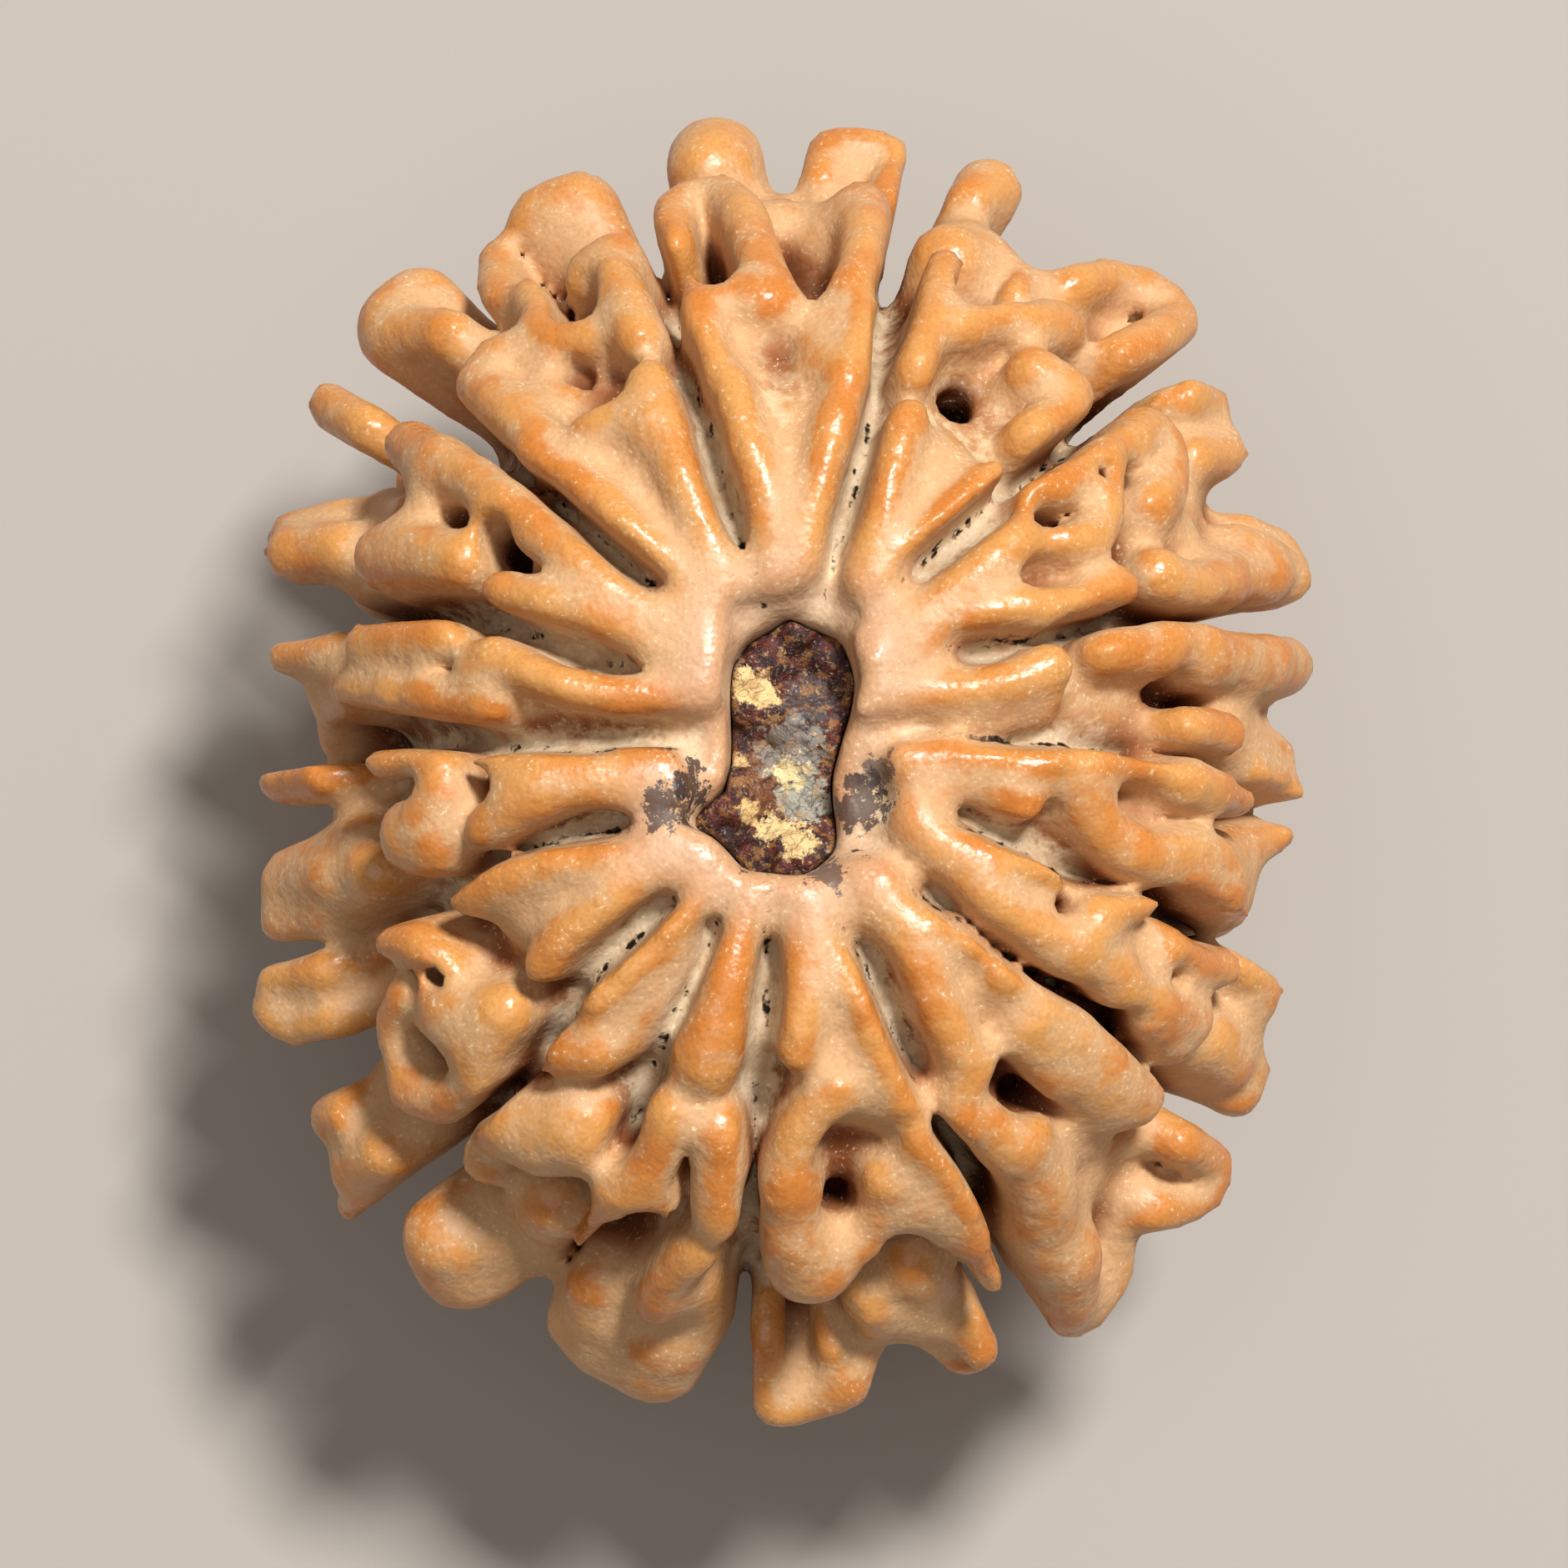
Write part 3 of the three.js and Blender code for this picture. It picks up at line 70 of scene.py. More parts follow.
# Each seam's x, y pairs, from the mouth of the hollow out to the widest section
SEAMS = [
  [-0.6, 3.3, -1.15, 4.75, -1.65, 5.9, -2.05, 7.9, -2.4, 9, -2.65, 10.1, -2.9, 11.2, -3.2, 12.2, -3.7, 13.6],
  [0.9, 3.3, 1.3, 4.75, 1.75, 6.3, 2.2, 8.1, 2.35, 9.5, 2.5, 11, 2.75, 12.4, 3.1, 13.8],
  [2.2, 3.1, 3.45, 4.45, 4.55, 5.35, 5.5, 6.25, 6.55, 7.1, 7.4, 7.8, 8.2, 8.5, 9.2, 9.4],
  [2.6, 1.6, 3.6, 2, 4.6, 2.35, 6.05, 2.5, 7.5, 2.85, 8.3, 3.15, 9.35, 3.25, 10.7, 3.4],
  [3.8, 0, 4.9, -0.1, 6.5, -0.15, 8.5, -0.1, 9.8, -0.25, 11, -0.5],
  [2.4, -1.5, 3.8, -2.15, 5.2, -2.5, 6.5, -2.95, 7.1, -3.45, 8, -3.55, 9.3, -3.6, 10.5, -3.9],
  [1.6, -2.85, 2.8, -3.7, 3.5, -4.2, 4.6, -4.75, 5.5, -5.4, 6.4, -6, 7.6, -6.4, 8.5, -7.1, 9.5, -7.9],
  [0.5, -3.5, 1.05, -4.4, 1.9, -5.6, 2.65, -7.3, 3.35, -8.7, 3.7, -9.5, 4.4, -10.3, 5, -11.3, 5.4, -12.5],
  [-0.5, -3.6, -0.55, -5, -0.55, -6.6, -0.7, -8.2, -0.9, -9.1, -0.85, -10.4, -0.9, -11.5, -1.1, -12.6,
   -1.3, -13.8],
  [-1.1, -3.4, -1.85, -4.85, -2.55, -6.35, -3.2, -7.5, -3.8, -8.6, -4.3, -9.9, -4.9, -11, -5.6, -12.2],
  [-2.1, -3.4, -3.6, -4.85, -4.9, -5.9, -5.8, -6.9, -6.7, -8.2, -7.6, -8.9, -8.5, -9.7, -9.1, -10.4],
  [-2.6, -2.1, -4, -2.45, -5.9, -2.55, -7.3, -2.9, -8.4, -3.5, -9.4, -3.95, -10.3, -4.2, -11.3, -4.4],
  [-3, -0.4, -4.3, -0.35, -6, -0.3, -7.5, -0.15, -8.6, 0.05, -9.6, 0.2, -11.4, 0.3],
  [-2, 1.4, -3.5, 1.8, -4.7, 2, -5.8, 2.3, -6.8, 2.75, -7.9, 3.2, -9, 3.4, -10.2, 3.5, -11.3, 3.6],
  [-2.1, 3, -3.4, 3.8, -4.6, 4.8, -5.8, 5.95, -6.8, 6.95, -7.8, 7.8, -9, 8.8],
]

# The mouth's outline: x, y pairs
MOUTH = [
  0, 3.05, 0.6, 2.75, 1.3, 2.6, 1.5, 2.2, 1.75, 1.4, 1.6, 0.5, 1.4, 0, 1.15, -1, 1.2, -1.5,
  1.3, -2.2, 1.2, -2.8, 0.5, -3.4, 0, -3.45, -0.5, -3.3, -1.1, -3.35, -1.3, -3, -1.9, -2.4, -2.8, -2.2,
  -1.6, -1.2, -1.5, -0.5, -1.5, 1.2, -1.4, 2, -1, 2.5, -0.5, 2.75,
]

# Ribs that start at the mouth: first and last radius, lift of the crest, and x, y pairs
POLE_RIBS = [
  [0.35, 0.65, 0, [-2.3, 3.4, -3.2, 4.3, -4.2, 5.2, -5.2, 6.1, -6.2, 6.75]],
  [0.35, 0.55, 0, [-1.6, 3.9, -2.2, 5.2, -2.7, 6.4, -3.1, 7.6, -3.5, 8.9]],
  [0.45, 0.45, 0, [-3.6, 7.7, -4, 7.9, -4.9, 7.7]],
  [0.35, 0.5, 0, [-0.4, 4, -0.45, 5, -0.6, 6, -0.95, 7, -1.3, 8, -1.4, 8.6]],
  [0.35, 0.5, 0, [0.35, 4.3, 0.5, 5.2, 0.75, 6, 1, 7, 1.2, 7.8]],
  [0.35, 0.5, 0, [2, 4, 2.15, 4.8, 2.4, 5.6, 2.6, 6.6, 2.85, 7.4, 3.05, 7.9]],
  [0.35, 0.5, 0, [2.3, 3.7, 3, 4.4, 3.8, 5.1, 4.5, 5.7, 5.15, 6.3]],
  [0.3, 0.5, 0, [1.9, 2.2, 3, 2.75, 3.93, 3.4, 4.9, 4.2, 5.7, 4.85]],
  [0.3, 0.55, 0, [2.2, 1.75, 3, 2.1, 4.1, 2.5, 4.9, 2.85, 5.7, 3.1]],
  [0.3, 0.5, 0, [1.9, 0.8, 3, 1, 4.6, 1.1, 5.5, 1.25, 6.5, 1.65]],
  [0.4, 0.4, -0.8, [5, 0.6, 6.6, 0.85]],
  [0.3, 0.5, 0, [3, -0.7, 3.7, -0.6, 5, -0.5, 6.4, -0.55]],
  [0.4, 0.4, -0.3, [3.6, -1.35, 4.6, -1.25, 5.5, -1.5, 5.95, -1.75]],
  [0.3, 0.5, 0, [3.4, -2.2, 3.9, -2.35, 5.4, -2.85, 6.75, -3.1]],
  [0.35, 0.55, 0, [3.2, -2.4, 4.4, -3.3, 5.2, -4.2, 6, -4.8, 7.1, -5.3, 8.1, -5.6]],
  [0.35, 0.5, 0, [2.4, -3.7, 3.25, -4.3, 4.55, -4.9, 5.5, -5.5, 5.35, -5.9]],
  [0.35, 0.55, 0, [1.8, -3.7, 2.3, -4.4, 3, -5, 3.4, -5.8, 3.75, -6.8, 4.2, -7.6, 4.55, -8.1]],
  [0.35, 0.55, 0, [0.6, -4.2, 1.2, -5.2, 1.7, -6.2, 2.1, -7, 2.5, -7.9, 2.95, -8.8]],
  [0.3, 0.45, 0, [0.1, -3.9, 0.3, -4.6, 0.4, -5.6, 0.4, -6.6, 0.3, -7.3, 0.2, -7.75]],
  [0.3, 0.85, 0, [-0.9, -3.9, -1.25, -5, -1.55, -6.2, -1.8, -7.2, -2.1, -8]],
  [0.35, 0.5, 0, [-1.9, -3.5, -2.9, -4.6, -3.9, -5.5, -4.8, -6.4]],
  [0.6, 0.6, 0, [-4.9, -7.75, -5.5, -7.75, -6, -7.6]],
  [0.3, 0.5, 0, [-2.1, -3, -3.1, -3.3, -4, -3.75, -4.9, -4.5, -5.6, -5, -6.1, -5.6]],
  [0.35, 0.7, 0, [-2.6, -2.5, -4, -2.85, -5.5, -3.05, -7, -3.4, -8, -3.65]],
  [0.3, 0.5, 0, [-3, -1.45, -4, -1.4, -5.2, -1.3, -6.1, -1.45]],
  [0.3, 0.5, 0, [-3.2, -0.75, -4.5, -0.85, -6, -0.7, -7.4, -0.5]],
  [0.45, 0.45, 0, [-6.8, -1.65, -7.3, -2.1, -7.5, -2.3]],
  [0.3, 0.5, 0, [-2.2, 0.9, -3, 0.95, -4.5, 0.95, -5.7, 1.2, -6.6, 1.65, -7.3, 2.05]],
  [0.45, 0.5, -0.2, [-7.9, 1.6, -7.5, 0.85, -8.2, 1, -9.2, 1.2]],
  [0.3, 0.5, 0, [-2.2, 1.6, -3.1, 2, -4, 2.45, -5, 2.9, -6, 3.25, -7.2, 3.6]],
  [0.3, 0.55, 0, [-2, 2.4, -3.1, 2.85, -4.4, 3.6, -5.3, 4.3, -6.2, 5.1, -7.1, 5.7]],
]

# Low ground between the ribs, in the same form
SHELVES = [
  [0.5, 0.8, -0.8, [2.7, 5, 3.5, 6.3, 4.1, 7.1]],
  [0.5, 0.8, -0.8, [4.6, -3.2, 5.6, -3.8, 6.6, -4.3]],
  [0.5, 0.7, -0.8, [3, -4.7, 4, -5.6, 4.7, -6.2]],
  [0.5, 0.7, -0.7, [0.9, -5.4, 1.2, -6.6, 1.5, -7.6, 2.2, -9.2]],
  [0.4, 0.6, -0.9, [0, 5.4, 0, 6.8, 0, 8.1]],
  [0.5, 0.7, -1, [-3, 5.6, -3.9, 6.7, -4.4, 7.3]],
  [0.5, 0.8, -0.7, [-2.9, -5.6, -3.7, -6.7, -4.2, -7.2]],
  [0.5, 0.8, -0.8, [-4.6, -3.6, -5.8, -4.2, -6.9, -4.4]],
  [0.4, 0.4, -0.6, [-6.4, -1.1, -6.9, -1.3]],
  [0.4, 0.5, -0.9, [3.2, 2.55, 4.6, 3.3]],
  [0.4, 0.5, -1, [3.6, 0.7, 5, 0.8]],
]

# Folds of the crown, in the same form
FOLDS = [
  # Faces at the far end
  [0.45, 0.45, 0, [-2.7, 11.6, -2.4, 10.8, -2.1, 9.9, -1.9, 9.3]],
  [0.45, 0.45, 0, [-2.2, 10.6, -1.4, 11.2, -0.9, 11]],
  [0.7, 0.7, -1, [-1.6, 10.4, -1.3, 9.4]],
  [0.6, 0.6, 0, [-3.1, 13, -3.1, 14, -2.6, 14.6, -1.8, 14.7, -1.2, 14, -0.9, 13, -0.6, 12, -0.3, 11.2]],
  [0.45, 0.75, 0, [1.6, 11.5, 1.9, 12.4, 2.05, 13.5, 1.95, 14.4]],
  [0.5, 0.5, 0, [2.05, 10.6, 1.75, 9.6, 1.5, 8.9]],
  [0.45, 0.45, -0.5, [1.2, 10.9, 0.8, 10.2, 0.9, 9.6]],
  [0.45, 0.5, 0, [4.05, 12.4, 3.85, 11.5, 3.6, 10.5, 3.35, 9.6, 3.2, 9.2]],
  [0.9, 0.8, -0.4, [4.5, 13.6, 5, 14, 5.5, 13.6]],
  [0.45, 0.45, 0, [4.4, 10.4, 5.35, 10.9, 6.2, 10.8]],
  [0.65, 0.65, 0, [6.3, 9.5, 7.3, 9, 6.9, 8.2, 6.2, 7.7]],
  [0.7, 0.7, 0, [6.7, 11, 7, 11.1]],
  [0.5, 0.5, -0.6, [6.1, 12.4, 6.6, 12.7, 7, 12.3]],
  # Faces at the right
  [0.5, 0.5, 0, [6.2, 6, 7, 6.45, 7.7, 6.8, 7.95, 6.2, 7.9, 5.5, 7.5, 5, 6.9, 4.95]],
  [0.6, 0.6, 0, [8.1, 7.3, 8.8, 7.9, 9.5, 8.2, 9.8, 7.7, 9.7, 6.9, 9.3, 6.2]],
  [0.4, 0.4, -0.3, [8.8, 9, 9.6, 9.4]],
  [0.6, 0.6, -0.8, [9.4, 5.8, 10.6, 6]],
  [0.6, 0.6, 0, [9.4, 4.4, 10.5, 4.2, 11.3, 4.5]],
  [0.5, 0.5, 0, [6.7, 3.15, 7.3, 3.35, 8, 3.7, 8.3, 3.8]],
  [0.6, 0.6, 0, [8, 2.2, 9.3, 2.35]],
  [0.4, 0.4, 0, [9.6, 2.6, 10.5, 2.6]],
  [0.7, 0.75, 0, [10.6, 2.4, 11.4, 2.5, 11.9, 2.5]],
  [0.7, 0.7, -1.5, [7.8, 1, 9, 1]],
  [0.5, 0.5, 0, [10, 0.5, 11.2, 0.45]],
  [0.5, 0.5, 0, [7.5, -0.5, 8.3, -0.45, 9.2, -0.55, 9.8, -0.75]],
  [0.4, 0.4, 0, [9.9, -0.95, 10.7, -0.9]],
  [0.6, 0.7, 0, [10.7, -0.9, 11.6, -0.8]],
  [0.55, 0.55, -0.2, [7.5, -1.2, 7.7, -1.8, 8.1, -2.3, 8.4, -2.5]],
  [0.5, 0.5, 0, [8.9, -2.8, 10, -2.55, 10.9, -2.7, 11.2, -3.2]],
  [0.6, 0.6, -1.4, [9, -1.7, 10.4, -1.8]],
  [0.55, 0.55, 0, [7.3, -4.9, 7.7, -4.4, 8.3, -3.95, 8.75, -3.85]],
  [0.55, 0.55, 0, [9.3, -4, 10.2, -3.8, 11.2, -4.1, 11.6, -4.5]],
  [0.5, 0.5, -0.8, [8.4, -5.2, 9.4, -5]],
  [0.45, 0.45, -0.2, [9.7, -5, 10.6, -5.4, 11.3, -5.3]],
  [0.55, 0.55, 0, [8.4, -6.1, 9.4, -6.4, 10.4, -6.7]],
  [0.45, 0.45, -0.3, [8.9, -7.2, 9.9, -7.6]],
  # Faces at the near end
  [0.75, 0.75, 0, [6.3, -6.8, 7.1, -7.3, 8.1, -8.1, 9, -8.7]],
  [0.6, 0.6, -0.2, [5.9, -7.2, 6.8, -8.2, 7.6, -8.5, 8.2, -9]],
  [0.6, 0.5, 0, [4.2, -9.2, 4.9, -9.5, 5.4, -10]],
  [0.8, 0.9, 0, [6, -10, 6.6, -11.2, 6.8, -12.3]],
  [0.8, 0.7, -1, [7.4, -10, 8, -10.1]],
  [0.5, 0.5, 0, [1.2, -8.7, 0.7, -9.1, 0.3, -9.6, 0, -10.3, 0, -10.7]],
  [0.8, 1.1, 0, [0, -11.3, 0.2, -12.4, 0.6, -13.2]],
  [0.6, 0.6, -0.3, [2.5, -11, 3.5, -11.5, 4.3, -12.2]],
  [0.6, 0.4, 0, [3.4, -9.9, 4.2, -10.6, 4.7, -11.6, 5, -12.5, 5.3, -13.1]],
  [0.45, 0.45, -0.5, [2, -12.6, 2.3, -12, 3, -11.8]],
  [0.6, 0.6, 0, [-1.6, -9.75, -1.75, -11.75]],
  [0.5, 0.5, 0, [-3, -9.2, -3.2, -10, -3.6, -10.7, -4, -11]],
  [0.35, 0.35, -0.3, [-4.3, -11.4, -3.3, -11.5]],
  [0.5, 0.5, -0.2, [-2.3, -12.7, -3, -13.3, -3.5, -14]],
  [0.4, 0.4, -0.2, [-4.6, -11, -5.3, -11.9, -5.8, -12.4]],
  [1.15, 1.15, 0, [-7.3, -9.4, -6.5, -9.8, -5.5, -9.7]],
  [0.6, 0.6, -0.4, [-8.3, -10.2, -8, -10.5]],
  # Faces at the left
  [0.7, 0.9, 0, [-7.2, -6.7, -8, -6.9, -8.6, -7]],
  [0.6, 0.6, 0, [-7.8, -7.6, -7.6, -7.2]],
  [0.5, 0.5, 0, [-10, -4.7, -9.3, -4.9, -8.7, -5.5, -8.6, -6.3]],
  [0.5, 0.5, -0.2, [-9.8, -6.1, -10.2, -6.8, -10, -7.5, -9.6, -8.2]],
  [0.55, 0.55, 0, [-9.6, -8.5, -8.8, -8.75, -7.8, -8.45]],
  [0.9, 0.9, 0, [-9.7, -2.3, -9, -2.4]],
  [0.5, 0.5, 0, [-10.2, -0.3, -9.3, -0.35, -8.7, -0.6, -8.6, -1.2, -9, -1.7]],
  [0.5, 0.5, 0, [-8.6, 2.6, -9.8, 2.7, -10.8, 2.75]],
  [0.4, 0.4, -0.2, [-10, 1.3, -11.4, 1.7]],
  [0.7, 0.8, 0, [-8.3, 4.6, -9.5, 4.9, -10.6, 5.1]],
  [0.5, 0.6, 0, [-7.3, 5.9, -8, 6.7, -8.8, 7.1]],
  [0.6, 0.65, 0, [-9, 7.4, -9.9, 8.1]],
  [0.4, 0.4, -0.4, [-9.6, 7.2, -9.5, 6.2, -9.9, 5.8]],
  [0.6, 0.6, 0, [-7.6, 10, -8, 9.4, -7.5, 8.8, -6.9, 8.2, -6.4, 7.6]],
  [0.9, 0.9, -0.8, [-6.4, 8.9, -6.3, 9.6]],
  [0.5, 0.5, -0.3, [-7.2, 10.3, -6.2, 10.6, -5.3, 10.4]],
  [0.45, 0.45, -0.2, [-6.4, 11, -6.8, 12]],
  [0.8, 0.85, 0, [-5.1, 12.5, -4.6, 12.8]],
  [0.55, 0.6, 0, [-4.5, 12, -4.1, 11.1, -3.8, 10.2]],
]

# Lobes of the rim: first and last radius, and x, y, z places
TONGUES = [
  [1.1, 1.1, [-1.6, 15, 13, -1.5, 15.3, 12.2]],
  [0.5, 0.6, [1.1, 14.7, 13.4, 1.4, 15.5, 12.6]],
  [0.5, 0.5, [2.7, 15.5, 12.8, 3.3, 15.4, 12.6, 3.5, 14.9, 13, 3.2, 13.9, 14]],
  [0.35, 0.35, [-0.2, 13.2, 15, 0.35, 13.5, 15, 0.6, 13.1, 15]],
  [0.6, 0.8, [4.8, 14.2, 13.4, 5.2, 14.6, 12.4]],
  [0.5, 0.5, [7.3, 11.8, 15, 8.2, 12.2, 13.6, 8.8, 12, 13]],
  [0.55, 0.55, [8.3, 9.9, 16, 9.4, 10.6, 14.6, 9.9, 11.1, 13.4, 9.7, 11.6, 12.8, 9.2, 11.9, 12.6]],
  [0.45, 0.45, [9.9, 9.3, 14.6, 10.6, 9.3, 13]],
  [0.5, 0.55, [10.2, 7.5, 14.8, 11, 7.9, 13.2]],
  [0.6, 0.6, [11, 4.5, 15.2, 12, 4.8, 13.6]],
  [0.6, 0.6, [11.2, 5.4, 14, 12.2, 5.2, 12.6, 12.6, 4.9, 12.2]],
  [0.55, 0.55, [11.5, 6.1, 11.8, 12.4, 5.8, 11, 12.7, 5.2, 11]],
  [0.75, 0.7, [11.8, 2.5, 14.6, 12.5, 2.7, 12.4]],
  [0.5, 0.45, [11.2, 0.35, 14.4, 12.3, 0.4, 12.4]],
  [0.65, 0.65, [11.6, -0.8, 14.4, 12.4, -0.85, 12.6]],
  [0.5, 0.5, [11, -1.9, 13.6, 12, -1.5, 12.4, 12.4, -1.2, 12]],
  [0.5, 0.5, [11.4, -4.3, 14, 12, -4.8, 12.8]],
  [0.45, 0.45, [10.6, -6.3, 13.6, 11.4, -5.9, 12.4]],
  [0.55, 0.55, [10.4, -6.7, 14.2, 11, -7.2, 13]],
  [0.7, 0.7, [10.9, -7.2, 12, 11.2, -7.8, 11.6, 10.9, -8.3, 11.6]],
  [0.6, 0.55, [7.9, -11.4, 12.8, 7.8, -12.6, 12, 7.2, -13.4, 11.8, 6.5, -13.6, 12]],
  [0.9, 0.8, [6.8, -12, 14.6, 6.8, -12.9, 13]],
  [0.55, 0.55, [9.9, -8.9, 14.4, 10.8, -9.3, 12.6, 10.7, -9.9, 12.4, 10.2, -10.3, 12.6, 9.4, -10.5, 13.4]],
  [0.45, 0.45, [4.6, -13.5, 13.2, 5, -14.2, 12.6]],
  [0.5, 0.45, [3.9, -13.6, 11.6, 4.6, -14.4, 11, 5, -14.1, 11]],
  [0.5, 0.5, [2, -13, 14.6, 3.6, -13.4, 13.4]],
  [0.55, 0.6, [-0.7, -13.8, 13.2, -0.8, -14.9, 12, -0.3, -15.5, 11.8, 0.6, -15.3, 11.8, 1.2, -15, 12]],
  [0.45, 0.45, [1.4, -14, 13, 2, -13.9, 12.6, 1.7, -14.7, 12.4]],
  [1, 0.8, [-2.6, -13.8, 13, -2.7, -14.5, 12]],
  [0.5, 0.5, [-3.4, -13.8, 13.4, -3.4, -14.6, 12.2]],
  [0.9, 0.8, [-4.4, -12.4, 14, -4.4, -13.3, 12.8, -4.3, -13.9, 12]],
  [0.5, 0.5, [-6.2, -12.6, 12.6, -5.6, -13.2, 12.2, -4.9, -13.5, 12]],
  [1.1, 1, [-8.3, -11, 13.4, -8, -11.7, 12.4]],
  [0.45, 0.4, [-6.7, -11.6, 13.6, -6.7, -12.3, 12.6]],
  [0.7, 0.6, [-9.4, -9.4, 14, -10.2, -9.8, 12.6]],
  [0.6, 0.6, [-9.8, -10.4, 12, -10, -10.8, 11.4]],
  [0.55, 0.5, [-10.4, -8.4, 13.4, -10.9, -8.5, 12.4]],
  [0.5, 0.5, [-11, -4.9, 13.4, -12.2, -4.9, 12.2]],
  [0.5, 0.5, [-10.9, -5.9, 13, -11.9, -5.9, 12, -12.4, -5.5, 11.8]],
  [0.8, 0.8, [-10.9, 0, 14.4, -12, 0.1, 12.4]],
  [0.8, 0.75, [-10.6, -2.6, 14.2, -11.8, -2.6, 12.2]],
  [0.45, 0.4, [-10.8, -3.9, 13.4, -12.2, -3.9, 12]],
  [0.45, 0.45, [-10.8, 3.5, 14, -12, 3.6, 12.6]],
  [0.45, 0.4, [-10, 1.6, 14, -11, 1.8, 12.6]],
  [0.65, 0.6, [-10.6, 5.4, 14, -11.9, 5.4, 12.8]],
  [0.65, 0.6, [-10.7, 6.2, 12.4, -11.9, 6, 11.6]],
  [0.6, 0.6, [-10, 8.4, 14, -10.9, 9.2, 12.6]],
  [0.65, 0.6, [-8.2, 10.3, 14.8, -9.2, 10.5, 13.6, -9.6, 10.4, 13]],
  [1, 0.95, [-9.5, 11, 12.4, -9, 11.5, 12]],
  [0.45, 0.45, [-6.7, 11.4, 15, -6.9, 12.3, 13.6, -6.9, 12.8, 12.8]],
  [0.95, 0.9, [-5.6, 13.8, 12.8, -4.9, 14, 13]],
  [0.5, 0.5, [-3.9, 13.3, 13.4, -4.1, 14.6, 12]],
]

# Pits: x, y, radius and depth under the crests
PITS = [
  [-2.15, 12.75, 0.45, 2], [-1.95, 11.9, 0.35, 1.6], [4.9, 11.8, 0.5, 4.5], [5, 9.65, 0.6, 3.6],
  [6.6, 5.6, 0.4, 1.8], [8.9, 7.1, 0.35, 1.8], [8.1, 6.85, 0.2, 1.6], [8.9, 11.5, 0.3, 3],
  [7.2, -4.3, 0.3, 2.2], [8.85, -6.95, 0.3, 2], [10.2, -5.75, 0.28, 2.4], [6.4, -9.15, 0.4, 2.4],
  [9.2, -9.8, 0.4, 2.8], [1.3, -12, 0.35, 2.4], [0.4, -14.5, 0.4, 3], [-3.8, -12, 0.25, 2.4],
  [-9.1, -5.85, 0.35, 2.4], [-9.1, -7.75, 0.35, 2.2], [-7.85, -1.15, 0.35, 2.4], [-9.9, -1, 0.35, 2.4],
  [-7.5, 5.2, 0.5, 2.8], [-5.7, 11.7, 0.65, 3.4], [-5.7, 9.9, 0.4, 1.5], [4.7, -1.9, 0.3, 1.8],
]

# Folds beside the closed pole: pairs of the way down and the way across the face
POLE_PAIR = [[0.82, -0.34, 0.72, -0.4, 0.6, -0.42], [0.82, 0.34, 0.7, 0.4, 0.58, 0.46]]

# Sets of folds of the lower flank, in the same form
FLANK_FOLDS = [
  [[0.54, -0.5, 0.46, -0.6, 0.38, -0.4, 0.36, 0, 0.4, 0.35], [0.52, 0.4, 0.46, 0.2]],
  [[0.56, 0.35, 0.46, 0.5, 0.36, 0.5, 0.3, 0.2], [0.52, -0.35, 0.42, -0.5, 0.32, -0.5]],
  [[0.52, -0.2, 0.44, -0.5, 0.36, -0.3, 0.36, 0.3, 0.44, 0.5, 0.52, 0.2, 0.52, -0.2]],
  [[0.52, -0.5, 0.44, 0, 0.5, 0.5], [0.4, -0.5, 0.32, -0.1, 0.36, 0.5]],
]

# Sets of folds of the rim, in the same form
RIM_FOLDS = [
  [[0.26, -0.5, 0.16, -0.55, 0.06, -0.4], [0.26, 0.45, 0.14, 0.5, 0.04, 0.45]],
  [[0.24, -0.5, 0.2, 0, 0.24, 0.5], [0.12, -0.5, 0.07, 0, 0.12, 0.5]],
  [[0.28, 0.1, 0.18, -0.4, 0.08, -0.5], [0.18, 0.5, 0.1, 0.3, 0.04, 0.5]],
  [[0.26, 0.5, 0.16, 0.45, 0.1, 0, 0.16, -0.5, 0.24, -0.5]],
]

# Folds of the widest section, in the same form
BELT_PAIR = [
  [-0.26, -0.42, -0.1, -0.52, 0.08, -0.4],
  [-0.24, 0.4, -0.08, 0.52, 0.1, 0.42],
  [-0.2, 0.0, -0.02, 0.08],
]

# The least and the largest radius of the folds
FLANK_RADIUS = {"pole": (0.42, 0.6), "flank": (0.5, 0.72), "rim": (0.55, 0.8)}


def smoothstep(value: Values) -> Values:
    """Ease the ends of a value from 0 to 1."""
    value = np.clip(value, 0.0, 1.0)
    return value * value * (3.0 - 2.0 * value)


def outward(x: Values, y: Values, z: Values) -> tuple[Values, Values, Values]:
    """Give the outward direction of the seed's form at points.

    Args:
        x: Places along X, in millimetres.
        y: Places along Y.
        z: Places along Z.

    Returns:
        The three parts of the unit direction.
    """
    gx, gy, gz = x / CREST[0] ** 2, y / CREST[1] ** 2, (z - MIDDLE) / CREST[2] ** 2
    length = np.sqrt(gx * gx + gy * gy + gz * gz) + 1e-9
    return gx / length, gy / length, gz / length


def crest_height(x: float, y: float) -> float:
    """Give the height of the highest crests over a place of the plan."""
    return MIDDLE + CREST[2] * math.sqrt(max(0.0, 1.0 - (x / CREST[0]) ** 2 - (y / CREST[1]) ** 2))


